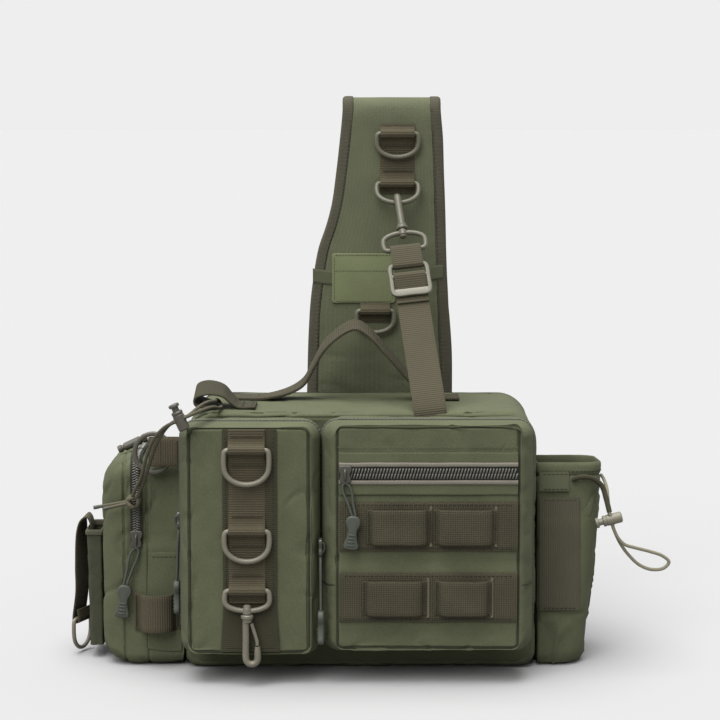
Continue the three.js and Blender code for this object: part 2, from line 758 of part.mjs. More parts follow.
const zipLayer = POCKET_FACE - SEAM - ZIP_THICKNESS - SEAM - SLIDER.thickness / 2;
const leftGusset = LEFT_MIDDLE - LEFT_WIDTH / 2;
const GROOVE_X = LEFT_MIDDLE + LEFT_WIDTH / 2 + 0.4;
const GROOVE_Y = POCKET_FACE + 5;
const pullers = [
  { name: 'front', slider: [-11, zipLayer, ZIP_Z], tab: [-4.6, zipLayer - 2.2, 129], turn: 0, lean: 0.1 },
  {
    name: 'end', slider: [-171, END_FRONT - SEAM - SLIDER.thickness / 2, 100],
    tab: [-179.6, END_FRONT - 3.8, 64.5], turn: 0, lean: 0.12,
  },
  {
    name: 'left', slider: [leftGusset - SEAM - SLIDER.thickness / 2, -76, 120],
    tab: [leftGusset - 3.4, -77, 73.5], turn: GUSSET_TURN, lean: 0,
  },
  {
    name: 'middle', slider: [GROOVE_X - 0.3, GROOVE_Y, 104], tab: [GROOVE_X, GROOVE_Y - 6, 57],
    turn: GUSSET_TURN, lean: 0,
  },
];
const PULLER_LOOP = [
  { fall: 1, side: -1.25 },
  { fall: 0.6, side: -2 },
  { fall: 0.28, side: -3.1 },
  { fall: 0.07, side: -2.3 },
  { fall: 0, side: 0 },
  { fall: 0.07, side: 2.3 },
  { fall: 0.28, side: 3.1 },
  { fall: 0.6, side: 2 },
  { fall: 1, side: 1.25 },
];
for (const { name, slider, turn, lean, tab } of pullers) {
  const body = roundedShape(
    -SLIDER.width / 2, SLIDER.width / 2, -SLIDER.height / 2, SLIDER.height / 2, 2.5);
  const sliderMesh = add(bag, `zip_slider_${name}`, plate(body, SLIDER.thickness, 0.5), materials.metal);
  sliderMesh.position.set(...slider);
  sliderMesh.rotation.z = turn;
  const eye = point(...slider).add(point(0, 0, -SLIDER.height / 2 - SEAM - PULLER_CORD));
  const grip = point(...tab).add(point(0, 0, SLACK));
  const sideways = point(Math.cos(turn), Math.sin(turn), 0);
  const route = PULLER_LOOP.map(({ fall, side }) => eye.clone()
    .lerp(grip, fall).addScaledVector(sideways, side).toArray());
  add(bag, `puller_cord_${name}`, cord(route, PULLER_CORD, 20), materials.rubber);
  const tabMesh = add(bag, `puller_tab_${name}`, plate(tabShape(), TAB.thickness, 0.8), materials.rubber);
  tabMesh.position.set(...tab);
  tabMesh.rotation.set(0, lean, turn);
}

// Rod holder: the lower webbing loop, the upper keeper, and the side tab with its ring
const LOOP_LAYER = END_FRONT - SEAM - WEB / 2;
const ROD_LOOP = { left: -173, right: -138, out: 11, middleZ: 43.5 };
const ROD_LOOP_SHAPE = [
  { along: 0, out: 0 },
  { along: 0.1, out: 0 },
  { along: 0.2, out: 0.7 },
  { along: 0.38, out: 1 },
  { along: 0.62, out: 1 },
  { along: 0.8, out: 0.7 },
  { along: 0.9, out: 0 },
  { along: 1, out: 0 },
];
const rodLoopLine = ROD_LOOP_SHAPE.map(({ along, out }) => point(
  THREE.MathUtils.lerp(ROD_LOOP.left, ROD_LOOP.right, along),
  LOOP_LAYER - out * ROD_LOOP.out,
  ROD_LOOP.middleZ,
));
add(bag, 'rod_loop_lower', ribbon(rodLoopLine, UPWARD, ROD_WEB_WIDTH), materials.webbing);

const KEEPER = { right: -80, left: -127, rise: 13, middleY: -25, width: 34 };
const KEEPER_SHAPE = [
  { along: 0, rise: 0 },
  { along: 0.28, rise: 0 },
  { along: 0.4, rise: 0.35 },
  { along: 0.55, rise: 0.85 },
  { along: 0.82, rise: 1 },
  { along: 0.98, rise: 0.75 },
  { along: 0.97, rise: 0.3 },
  { along: 0.8, rise: 0.06 },
  { along: 0.64, rise: 0 },
];
const topLayer = BODY_HEIGHT + SEAM + WEB / 2;
const keeperLine = KEEPER_SHAPE.map(({ along, rise }) => point(
  THREE.MathUtils.lerp(KEEPER.right, KEEPER.left, along),
  KEEPER.middleY,
  topLayer + rise * KEEPER.rise,
));
add(bag, 'rod_keeper_upper', ribbon(keeperLine, BACKWARD, KEEPER.width), materials.webbing);

// The tab is a folded webbing that holds a plastic ring in front of the end pocket
const ROD_RING_RADIUS = 14;
const TAB_FOLD_X = -157;
const TAB_END_X = -SIDE - SEAM;
const ringLayer = END_FRONT - SEAM - WEB - SLACK - WIRE;
const TAB_Z = BODY_HEIGHT - 31;
function rodTab() {
  const reach = WIRE + SLACK + WEB / 2;
  const line = [point(TAB_END_X, ringLayer + reach, TAB_Z)];
  for (let i = 0; i <= 4; i++) {
    const angle = Math.PI / 2 + (i / 4) * Math.PI;
    line.push(point(
      TAB_FOLD_X + reach * Math.cos(angle), ringLayer + reach * Math.sin(angle), TAB_Z));
  }
  line.push(point(TAB_END_X, ringLayer - reach, TAB_Z));
  return ribbon(line, UPWARD, 22);
}
add(bag, 'rod_tab', rodTab(), materials.webbing);
function rodRing() {
  const line = [];
  for (let i = 0; i < 16; i++) {
    const angle = (i / 16) * Math.PI * 2;
    line.push(point(ROD_RING_RADIUS * Math.cos(angle), 0, 1.05 * ROD_RING_RADIUS * Math.sin(angle)));
  }
  return wire(line, WIRE, BACKWARD, true);
}
const rodRingMesh = add(bag, 'rod_ring', rodRing(), materials.darkLock);
rodRingMesh.position.set(TAB_FOLD_X, ringLayer, TAB_Z - 1);

// Toggle that lies on the end pocket's shoulder
const TOGGLE = { radius: 3.6, length: 24 };
const toggle = new THREE.CylinderGeometry(TOGGLE.radius, TOGGLE.radius * 0.8, TOGGLE.length, 10);
toggle.rotateZ(-Math.PI / 2);
const toggleMesh = add(bag, 'rod_toggle', toggle, materials.darkLock);
toggleMesh.position.set(-176, -22, END_HEIGHT + 5.2);
toggleMesh.rotation.y = -0.42;

// A spring cord lock: a barrel with a slot for two strands, and its plunger.
// It is drawn along Z with the plunger's cap on top and the slot running along X.
const LOCK_BORE = 2.6;
const SLOT_Z = -LOCK_LENGTH * 0.43;
const SLOT_HEIGHT = 2 * CORD + 2 * SLACK;
const SLOT_WIDTH = 4 * CORD + 3 * SLACK;
const CAP_THICKNESS = 2.6;
const BORE_DEPTH = PLUNGER_TRAVEL + 1;
function lockBarrel() {
  const profile = [
    [0, -LOCK_LENGTH],
    [LOCK_RADIUS - 0.6, -LOCK_LENGTH],
    [LOCK_RADIUS, -LOCK_LENGTH + 1],
    [LOCK_RADIUS, -0.8],
    [LOCK_RADIUS - 0.6, 0],
    [LOCK_BORE + SEAM, 0],
    [LOCK_BORE + SEAM, -BORE_DEPTH],
    [0, -BORE_DEPTH],
  ];
  const barrel = new THREE.LatheGeometry(profile.map(([r, z]) => new THREE.Vector2(r, z)), 12);
  barrel.rotateX(Math.PI / 2);
  const slot = new THREE.BoxGeometry(4 * LOCK_RADIUS, SLOT_WIDTH, SLOT_HEIGHT);
  slot.translate(0, 0, SLOT_Z);
  return geometryOf(solidOf(barrel).subtract(solidOf(slot)));
}
function lockPlunger() {
  const lift = PLUNGER_TRAVEL + SEAM;
  const profile = [
    [0, -0.5],
    [LOCK_BORE, -0.5],
    [LOCK_BORE, lift],
    [LOCK_RADIUS - 0.4, lift],
    [LOCK_RADIUS - 0.4, lift + CAP_THICKNESS - 0.6],
    [LOCK_RADIUS - 1.2, lift + CAP_THICKNESS],
    [0, lift + CAP_THICKNESS],
  ];
  const plunger = new THREE.LatheGeometry(profile.map(([r, z]) => new THREE.Vector2(r, z)), 12);
  plunger.rotateX(Math.PI / 2);
  return plunger;
}
const bottleSide = SIDE + SEAM + BOTTLE_REACH;
const LOCKS = [
  {
    name: 'left', at: [leftGusset + SEAM, POCKET_FACE - 6.7, LEFT_TOP + 11], lean: -0.42,
    look: materials.darkLock,
  },
  {
    name: 'right', at: [bottleSide - 0.6, -45.3, 0.73 * BOTTLE_HEIGHT], lean: -1.83,
    look: materials.paleLock,
  },
];
for (const { name, at, lean, look } of LOCKS) {
  const group = new THREE.Group();
  group.position.set(...at);
  group.rotation.y = lean;
  bag.add(group);
  add(group, `cord_lock_${name}`, lockBarrel(), look);
  add(group, `lock_plunger_${name}`, lockPlunger(), look);
}

// Free elastic cords, through points chosen along their real routes
const LEFT_CORD = [
  [-172.5, -60.4, 135.1], [-169.5, -65, 142], [-165.2, -71, 150], [-160, -81, 167],
  [-155, -91, 179.5], [-150, -99, 187.5], [-143.5, -107, 194.5],
  [-137.2, -113.5, 198.6], [-131.7, -113.5, 201.1], [-126.2, -113.5, 203.5],
  [-116, -97, 206], [-110.4, -72, 204.6], [-107, -52, 201.3], [-106, -42, 200.75],
  [-106.4, -34, 201.2], [-108, -30.6, 203.2], [-109.5, -34, 205], [-110.2, -43, 205.4],
  [-112, -56, 206.8], [-114.4, -75, 208.6], [-118.6, -98, 208.6],
  [-126.2, -110.5, 203.5], [-131.7, -110.5, 201.1], [-137.2, -110.5, 198.6],
  [-142.5, -103.5, 193.5], [-148, -96.5, 185], [-152.4, -87.5, 176.5], [-157.2, -78, 164],
  [-162.6, -68.5, 148.5], [-166, -63, 140.5], [-168.6, -59.4, 134.4],
];
add(bag, 'elastic_cord_left', cord(LEFT_CORD, CORD, 62), materials.darkCord);

// The knot is a tight ball of cord with two loose tails
const KNOT = { at: [-172, -57.5, 130], radius: 5.4 };
const KNOT_TAILS = [
  [[-174, -58.4, 129.4], [-184, -60, 127.4], [-194.5, -61, 125.2]],
  [[-174, -56, 130.4], [-188, -57, 128], [-202.5, -58.4, 125.6]],
];
function knot() {
  const ball = new THREE.SphereGeometry(KNOT.radius, 8, 6);
  ball.scale(1, 0.9, 1.05);
  ball.translate(...KNOT.at);
  let solid = solidOf(ball);
  for (const route of KNOT_TAILS) {
    solid = solid.add(solidOf(cord(route, CORD, 5)));
  }
  return geometryOf(solid);
}
add(bag, 'cord_knot_left', knot(), materials.darkCord);

const RIGHT_CORD = [
  [162.6, -40.9, 144.2], [169, -42.4, 146.4], [178, -41, 145.2], [185.6, -39.5, 139],
  [188.6, -42.5, 130], [190.9, -46.8, 120], [192.4, -46.8, 114.2], [193.9, -46.8, 108.4],
  [197.4, -46.6, 100.5], [203, -45.6, 94.6], [211.4, -43.5, 91.6], [222.5, -41.5, 88.4],
  [233, -40.4, 84.6], [238, -40.2, 79.8], [234, -40.4, 75], [224.6, -40.6, 74],
  [215, -41, 77.8], [206, -41.4, 86.4], [199.6, -42, 95.6],
  [193.9, -43.8, 108.4], [192.4, -43.8, 114.2], [190.9, -43.8, 120],
  [190.6, -38, 129], [190.4, -30, 136], [189.4, -20, 140.6], [188.4, -9, 142.4],
];
add(bag, 'elastic_cord_right', cord(RIGHT_CORD, CORD, 66), materials.paleCord);

// Webbing over the sheath's mouth, with an oval link at its lower end.
// Below the mouth it turns, so that it faces partly to the front.
const PLIER_WEB_WIDTH = 20;
const PLIER_TURN = 0.4;
const LINK_WIRE = 1.6;
const LINK = { height: 24, bowl: 13 };
const LINK_BAR_Z = 27.5;
const LINK_X = SHEATH_FACE - 6.5;
const linkFold = LINK_WIRE + SLACK + WEB / 2;
function plierStrap() {
  const inside = SHEATH_FACE + CLOTH - 0.5 + SEAM + WEB / 2;
  const outside = SHEATH_FACE - SEAM - WEB / 2;
  const rows = [
    { x: inside, z: SHEATH_TOP - 12, turn: 0 },
    { x: inside, z: SHEATH_TOP + 2, turn: 0 },
    { x: inside - 1.4, z: SHEATH_TOP + 6.4, turn: 0 },
    { x: (inside + outside) / 2 - 1.4, z: SHEATH_TOP + 8.4, turn: 0 },
    { x: outside - 3, z: SHEATH_TOP + 6, turn: 0.1 },
    { x: outside - 4.6, z: SHEATH_TOP - 2, turn: 0.28 },
    { x: outside - 5.2, z: 0.7 * SHEATH_TOP, turn: PLIER_TURN },
    { x: outside - 5.2, z: 0.5 * SHEATH_TOP, turn: PLIER_TURN },
  ];
  const line = rows.map(({ x, z }) => point(x, SHEATH_MIDDLE, z));
  const across = rows.map(({ turn }) => point(Math.sin(turn), Math.cos(turn), 0));
  for (let i = 0; i <= 6; i++) {
    const angle = Math.PI + (i / 6) * Math.PI;
    const off = linkFold * Math.cos(angle);
    line.push(point(
      LINK_X + off * Math.cos(PLIER_TURN),
      SHEATH_MIDDLE - off * Math.sin(PLIER_TURN),
      LINK_BAR_Z + linkFold * Math.sin(angle),
    ));
    across.push(across[7].clone());
  }
  line.push(line.at(-1).clone().add(point(-1, 0, 8)));
  across.push(across[7].clone());
  return ribbon(line, across, PLIER_WEB_WIDTH);
}
add(bag, 'plier_strap', plierStrap(), materials.webbing);
const linkLine = ringLine(PLIER_WEB_WIDTH / 2 + SLACK + RING_SHOULDER, LINK.height, LINK.bowl);
const linkMesh = add(bag, 'plier_link', wire(linkLine, LINK_WIRE, BACKWARD, true), materials.metal);
linkMesh.position.set(LINK_X, SHEATH_MIDDLE, LINK_BAR_Z);
linkMesh.rotation.z = Math.PI / 2 - PLIER_TURN;

// Shoulder strap furniture: patch, keepers and rings on the strap's outward face
const STRAP_LAYER = STRAP_FACE - SEAM - WEB / 2;
const PATCH = { left: -22.5, right: 28, bottom: 270.8, top: 310.7 };
const patchShape = roundedShape(PATCH.left, PATCH.right, PATCH.bottom, PATCH.top, 1.2);
const strapPatch = plate(patchShape, WEB, 0.3);
strapPatch.translate(0, STRAP_LAYER, 0);
add(bag, 'strap_patch', strapPatch, materials.patch);

const RING_1 = { x: 30, bar: 406.5, web: KEEPER_WEB_WIDTH, height: 18.6, bowl: 11 };
const RING_PITCH = 39.5;
const RING_2 = { x: RING_1.x, bar: RING_1.bar - RING_PITCH, web: KEEPER_WEB_WIDTH, height: 18.2, bowl: 11 };
const RING_3 = { x: 12.3, bar: 264.5, web: SMALL_KEEPER_WIDTH, height: 17.4, bowl: 10 };
add(
  bag,
  'strap_keeper_upper',
  keeper(RING_1.x, STRAP_LAYER, RING_1.bar + 8, RING_2.bar - 8, [RING_1.bar, RING_2.bar], KEEPER_WEB_WIDTH),
  materials.webbing,
);
const smallKeeperTop = PATCH.bottom - SEAM;
add(
  bag,
  'strap_keeper_lower',
  keeper(RING_3.x, STRAP_LAYER, smallKeeperTop, RING_3.bar - 9, [RING_3.bar], SMALL_KEEPER_WIDTH),
  materials.webbing,
);
dRing('d_ring_1', RING_1.x, STRAP_LAYER, RING_1);
dRing('d_ring_3', RING_3.x, STRAP_LAYER, RING_3);

// A group on a taut line: Z runs up along it, X across it and Y away from the viewer
function lineGroup(at, up) {
  const back = up.clone().cross(ACROSS).normalize();
  const across = back.clone().cross(up);
  const group = new THREE.Group();
  group.position.copy(at);
  group.quaternion.setFromRotationMatrix(new THREE.Matrix4().makeBasis(across, back, up));
  bag.add(group);
  return group;
}

// The second ring turns in its keeper until it points at the body's front top edge
const LOAD_FOOT_X = 53;
const LOAD_END = point(LOAD_FOOT_X, FRONT + 3, BODY_HEIGHT + SEAM + WEB);
const barTwo = point(RING_2.x, STRAP_LAYER - FOLD_OUT, RING_2.bar);
const ringUp = barTwo.clone().sub(LOAD_END).setX(0).normalize();
add(lineGroup(barTwo, ringUp), 'd_ring_2', ringGeometry(RING_2), materials.metal);

// The load line runs straight from that ring's bowl to the body's front top edge.
// The upper hook hangs its throat over the bowl, with its bow below. Its shank runs
// in front of the ring, so the rig lies a little in front of the load line.
const loadTop = barTwo.clone().addScaledVector(ringUp, -RING_2.height);
const loadUp = loadTop.clone().sub(LOAD_END);
const LOAD_LENGTH = loadUp.length();
const loadLine = lineGroup(loadTop, loadUp.normalize());
const loadRig = new THREE.Group();
const RIG_OUT = -SHANK_X - THROAT;
loadRig.position.y = RIG_OUT;
loadLine.add(loadRig);
const upperHook = new THREE.Group();
const hookApex = WIRE + SLACK + HOOK_WIRE;
upperHook.position.z = hookApex - UPPER_HOOK_REACH;
upperHook.rotation.y = Math.PI;
loadRig.add(upperHook);
add(upperHook, 'hook_bow_upper', hookBow(), materials.metal);
const upperBody = add(upperHook, 'snap_hook_upper', hookBody(UPPER_HOOK_REACH), materials.metal);
upperBody.rotation.z = Math.PI / 2;
const upperGate = add(upperHook, 'hook_gate_upper', hookGate(UPPER_HOOK_REACH), materials.metal);
upperGate.rotation.z = Math.PI / 2;

// Three-bar buckle
const BUCKLE = { width: 32, height: 29, bar: 3, thickness: 2.6, top: 11.5 };
const BUCKLE_DROP = 24;
const buckleZ = upperHook.position.z - BUCKLE_DROP;
function ladderBuckle() {
  const half = BUCKLE.width / 2;
  const low = BUCKLE.top - BUCKLE.height;
  const shape = roundedShape(-half, half, low, BUCKLE.top, 4);
  const inner = half - BUCKLE.bar;
  const halfBar = BUCKLE.bar / 2;
  shape.holes.push(roundedShape(-inner, inner, halfBar, BUCKLE.top - BUCKLE.bar, 1));
  shape.holes.push(roundedShape(-inner, inner, low + 6, -halfBar, 1));
  return plate(shape, BUCKLE.thickness, 0.6);
}
const buckleMesh = add(loadRig, 'ladder_buckle', ladderBuckle(), materials.metal);
buckleMesh.position.z = buckleZ;

// Short webbing between the hook's bow and the buckle's top bar, sewn into a loop
function shortWeb() {
  const topBar = upperHook.position.z;
  const lowBar = buckleZ + BUCKLE.top - BUCKLE.bar / 2;
  const line = [];
  const turnRound = (z, radius, from) => {
    for (let i = 0; i <= 4; i++) {
      const angle = from + (i / 4) * Math.PI;
      line.push(point(0, radius * Math.cos(angle), z + radius * Math.sin(angle)));
    }
  };
  turnRound(topBar, WIRE + SLACK + WEB / 2, 0);
  turnRound(lowBar, BUCKLE.bar / 2 + SLACK + WEB / 2, Math.PI);
  return ribbon(line, ACROSS, LOAD_WEB_WIDTH - 1);
}
add(loadRig, 'buckle_web', shortWeb(), materials.webbing);

// Load strap: up behind the buckle, over its middle bar and out again under the lip
function loadStrap() {
  const layer = BUCKLE.thickness / 2 + SLACK + WEB / 2;
  const reach = BUCKLE.bar / 2 + SLACK + WEB / 2;
  const low = buckleZ + BUCKLE.top - BUCKLE.height;
  const behind = layer + WEB + SLACK;
  const line = [
    point(0, -RIG_OUT, -LOAD_LENGTH),
    point(0, behind, low - 0.41 * BUCKLE.height),
    point(0, behind, low + 0.14 * BUCKLE.height),
    point(0, reach, buckleZ + SLACK),
    point(0, reach * 0.7, buckleZ + reach * 0.75),
    point(0, 0, buckleZ + reach + SLACK / 2),
    point(0, -reach * 0.7, buckleZ + reach * 0.75),
    point(0, -reach, buckleZ),
    point(0, -reach * 0.55, buckleZ - 0.11 * BUCKLE.height),
    point(0, layer * 0.55, low + 0.262 * BUCKLE.height),
    point(0, layer, low + 0.155 * BUCKLE.height),
    point(0, layer, low - 0.17 * BUCKLE.height),
  ];
  return ribbon(line, ACROSS, LOAD_WEB_WIDTH);
}
add(loadRig, 'load_strap', loadStrap(), materials.webbing);

// Grab handle on the body's top: a webbing arch with a sharp crown
const HANDLE = { left: -100, right: 78, height: 57, middleY: 20 };
const HANDLE_SHAPE = [
  { along: 0, rise: 0 },
  { along: 0.13, rise: 0 },
  { along: 0.25, rise: 0.09 },
  { along: 0.315, rise: 0.22 },
  { along: 0.355, rise: 0.44 },
  { along: 0.41, rise: 0.73 },
  { along: 0.5, rise: 0.96 },
  { along: 0.545, rise: 1 },
  { along: 0.59, rise: 0.93 },
  { along: 0.675, rise: 0.65 },
  { along: 0.78, rise: 0.27 },
  { along: 0.86, rise: 0.04 },
  { along: 0.9, rise: 0 },
  { along: 1, rise: 0 },
];
const handleLine = HANDLE_SHAPE.map(({ along, rise }) => point(
  THREE.MathUtils.lerp(HANDLE.left, HANDLE.right, along),
  HANDLE.middleY,
  topLayer + rise * HANDLE.height,
));
add(bag, 'grab_handle', ribbon(handleLine, BACKWARD, HANDLE_WEB_WIDTH), materials.webbing);

export default bag;
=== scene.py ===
# The looks of a fishing tackle sling bag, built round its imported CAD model.
# Lengths are in millimetres and become metres where a mesh is made. X runs to the
# right seen from the front, Y to the back and Z up, as in the CAD.

import math

import bmesh
import bpy
import numpy as np
from mathutils import Matrix, Vector, noise


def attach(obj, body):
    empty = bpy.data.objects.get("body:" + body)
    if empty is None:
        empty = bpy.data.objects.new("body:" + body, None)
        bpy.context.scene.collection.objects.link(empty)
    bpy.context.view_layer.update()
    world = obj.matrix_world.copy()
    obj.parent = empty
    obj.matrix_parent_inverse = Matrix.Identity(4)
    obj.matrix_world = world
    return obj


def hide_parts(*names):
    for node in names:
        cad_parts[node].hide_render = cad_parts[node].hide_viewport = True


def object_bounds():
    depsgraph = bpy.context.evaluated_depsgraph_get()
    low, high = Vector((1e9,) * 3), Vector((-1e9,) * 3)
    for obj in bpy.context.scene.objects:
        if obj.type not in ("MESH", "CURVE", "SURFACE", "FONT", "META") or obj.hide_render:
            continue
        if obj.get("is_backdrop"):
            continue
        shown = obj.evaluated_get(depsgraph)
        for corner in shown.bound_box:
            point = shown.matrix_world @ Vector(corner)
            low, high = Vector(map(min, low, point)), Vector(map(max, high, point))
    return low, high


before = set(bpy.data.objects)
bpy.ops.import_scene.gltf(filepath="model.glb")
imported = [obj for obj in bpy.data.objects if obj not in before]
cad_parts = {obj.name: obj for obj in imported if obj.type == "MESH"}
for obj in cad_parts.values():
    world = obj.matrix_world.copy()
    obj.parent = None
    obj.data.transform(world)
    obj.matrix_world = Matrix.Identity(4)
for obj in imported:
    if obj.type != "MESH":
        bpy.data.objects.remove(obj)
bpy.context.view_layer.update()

# Without a fixed seed, Blender's noise vectors differ from run to run
noise.seed_set(1)

MM = 0.001
CLOTH = 2
WEB = 1.4
SEAM = 0.3
SLACK = 0.4

BODY_WIDTH = 270
BODY_DEPTH = 110
BODY_HEIGHT = 199
BACK_PAD = 8
POCKET_DEPTH = 50
LEFT_MIDDLE = -82
LEFT_WIDTH = 105.2
LEFT_BOTTOM = 20
LEFT_TOP = 196
RIGHT_MIDDLE = 50.4
RIGHT_WIDTH = 158
RIGHT_BOTTOM = 23
RIGHT_TOP = 197
END_REACH = 64.5
END_DEPTH = 96
END_HEIGHT = 164
SHEATH_REACH = 13
SHEATH_WIDTH = 44
SHEATH_BOTTOM = 10
SHEATH_TOP = 101
BOTTLE_REACH = 51.5
BOTTLE_DEPTH = 98
BOTTLE_HEIGHT = 154
BOTTLE_RIM_SLOPE = 0.08
BOTTLE_CORNER = 17
STRAP_SEWN_AT = 150
STRAP_TOP = 436
STRAP_THICKNESS = 7
STRAP_MIDDLE = 15
STRAP_HALF_WIDTH = 59.5
STRAP_FOLD = 7
STRAP_BOW = 34
STRAP_DRIFT = 36

FRONT = -BODY_DEPTH / 2
BACK = BODY_DEPTH / 2
SIDE = BODY_WIDTH / 2
POCKET_FACE = FRONT - SEAM - POCKET_DEPTH
END_FRONT = -END_DEPTH / 2 - 2
END_FACE = -SIDE - SEAM - END_REACH
PAD_FACE = BACK + SEAM + BACK_PAD
STRAP_FACE = PAD_FACE + SEAM
TOP_LAYER = BODY_HEIGHT + SEAM + WEB / 2

ACROSS = np.array([1.0, 0, 0])
BACKWARD = np.array([0, 1.0, 0])
UPWARD = np.array([0, 0, 1.0])
FORWARD = -BACKWARD

# Camera at the photo's angle: 6.75 degrees down, from 1.7 m in front
camera_data = bpy.data.cameras.new("camera")
camera_data.lens = 110
camera = bpy.data.objects.new("camera", camera_data)
camera.location = (0, -1.705, 0.43347)
camera.rotation_euler = (math.radians(83.25), 0, 0)
bpy.context.collection.objects.link(camera)
bpy.context.scene.camera = camera

FLOOR_COLOUR = (0.243, 0.243, 0.243)
SKY_COLOUR = (0.855, 0.855, 0.855)


def unit(v):
    return np.asarray(v, float) / max(np.linalg.norm(v), 1e-9)


def point(x, y, z):
    return np.array([x, y, z], float)


def shift(x, y, z):
    return np.array(Matrix.Translation((x, y, z)))


def turned(axis, angle):
    return np.array(Matrix.Rotation(angle, 4, axis))


def smooth_line(points, spacing, looped=False):
    """Evenly spaced rows on a curve through the points. Columns after the third go along."""
    points = np.array(points, float)
    if looped:
        padded = [points[-1], *points, points[0], points[1]]
    else:
        padded = [2 * points[0] - points[1], *points, 2 * points[-1] - points[-2]]
    fine = []
    for i in range(len(padded) - 3):
        p0, p1, p2, p3 = padded[i:i + 4]
        t1 = max(np.linalg.norm((p1 - p0)[:3]), 1e-6) ** 0.5
        t2 = t1 + max(np.linalg.norm((p2 - p1)[:3]), 1e-6) ** 0.5
        t3 = t2 + max(np.linalg.norm((p3 - p2)[:3]), 1e-6) ** 0.5
        for t in np.linspace(t1, t2, 12, endpoint=False):
            a1 = (t1 - t) / t1 * p0 + t / t1 * p1
            a2 = (t2 - t) / (t2 - t1) * p1 + (t - t1) / (t2 - t1) * p2
            a3 = (t3 - t) / (t3 - t2) * p2 + (t - t2) / (t3 - t2) * p3
            b1 = (t2 - t) / t2 * a1 + t / t2 * a2
            b2 = (t3 - t) / (t3 - t1) * a2 + (t - t1) / (t3 - t1) * a3
            fine.append((t2 - t) / (t2 - t1) * b1 + (t - t1) / (t2 - t1) * b2)
    fine.append(padded[-2])
    fine = np.array(fine)
    run = np.r_[0, np.cumsum(np.linalg.norm(np.diff(fine[:, :3], axis=0), axis=1))]
    stops = np.linspace(0, run[-1], max(int(run[-1] / spacing), 4) + 1)
    if looped:
        stops = stops[:-1]
    return np.stack([np.interp(stops, run, column) for column in fine.T], axis=1)


# Materials: a fine bump from noise and waves, and a colour that varies with both
def surface(name, colour, roughness, metallic=0.0, contrast=0.16, grain=0.9, bump=0.2,
            waves=(), shine=0.18, slot="cloth"):
    material = bpy.data.materials.new(name)
    material.use_nodes = True
    nodes = material.node_tree.nodes
    links = material.node_tree.links
    shader = nodes["Principled BSDF"]
    shader.inputs["Metallic"].default_value = metallic
    shader.inputs["Specular IOR Level"].default_value = shine
    spots = nodes.new("ShaderNodeTexCoord")
    fine = nodes.new("ShaderNodeTexNoise")
    fine.inputs["Scale"].default_value = 1 / (grain * MM)
    fine.inputs["Detail"].default_value = 4
    links.new(spots.outputs["Object"], fine.inputs["Vector"])
    height = fine.outputs["Fac"]
    for direction, pitch, weight in waves:
        wave = nodes.new("ShaderNodeTexWave")
        wave.bands_direction = direction
        wave.inputs["Scale"].default_value = math.pi / 10 / (pitch * MM)
        wave.inputs["Distortion"].default_value = 0.7
        links.new(spots.outputs["UV"], wave.inputs["Vector"])
        total = nodes.new("ShaderNodeMath")
        total.operation = "MULTIPLY_ADD"
        total.inputs[1].default_value = weight
        links.new(wave.outputs["Fac"], total.inputs[0])
        links.new(height, total.inputs[2])
        height = total.outputs[0]
    wide = 1 + sum(weight for _, _, weight in waves)
    level = nodes.new("ShaderNodeMapRange")
    level.inputs["From Min"].default_value = 0.25
    level.inputs["From Max"].default_value = wide - 0.25
    links.new(height, level.inputs["Value"])
    blotch = nodes.new("ShaderNodeTexNoise")
    blotch.inputs["Scale"].default_value = 1 / (26 * MM)
    blotch.inputs["Detail"].default_value = 5
    links.new(spots.outputs["Object"], blotch.inputs["Vector"])
    share = nodes.new("ShaderNodeMath")
    share.operation = "MULTIPLY_ADD"
    share.inputs[1].default_value = 0.55
    half = nodes.new("ShaderNodeMath")
    half.operation = "MULTIPLY"
    half.inputs[1].default_value = 0.45
    links.new(level.outputs["Result"], half.inputs[0])
    links.new(blotch.outputs["Fac"], share.inputs[0])
    links.new(half.outputs[0], share.inputs[2])
    tint = nodes.new("ShaderNodeMix")
    tint.data_type = "RGBA"
    tint.inputs["A"].default_value = (*[c * (1 - 1.6 * contrast) for c in colour], 1)
    tint.inputs["B"].default_value = (*[c * (1 + 1.6 * contrast) for c in colour], 1)
    links.new(share.outputs[0], tint.inputs["Factor"])
    links.new(tint.outputs["Result"], shader.inputs["Base Color"])
    rough = nodes.new("ShaderNodeMapRange")
    rough.inputs["To Min"].default_value = max(roughness - 0.1, 0.05)
    rough.inputs["To Max"].default_value = min(roughness + 0.1, 1)
    links.new(blotch.outputs["Fac"], rough.inputs["Value"])
    links.new(rough.outputs["Result"], shader.inputs["Roughness"])
    relief = nodes.new("ShaderNodeBump")
    relief.inputs["Strength"].default_value = 0.8
    relief.inputs["Distance"].default_value = bump * MM
    links.new(height, relief.inputs["Height"])
    links.new(relief.outputs["Normal"], shader.inputs["Normal"])
    material["part_slot"] = slot
    return material


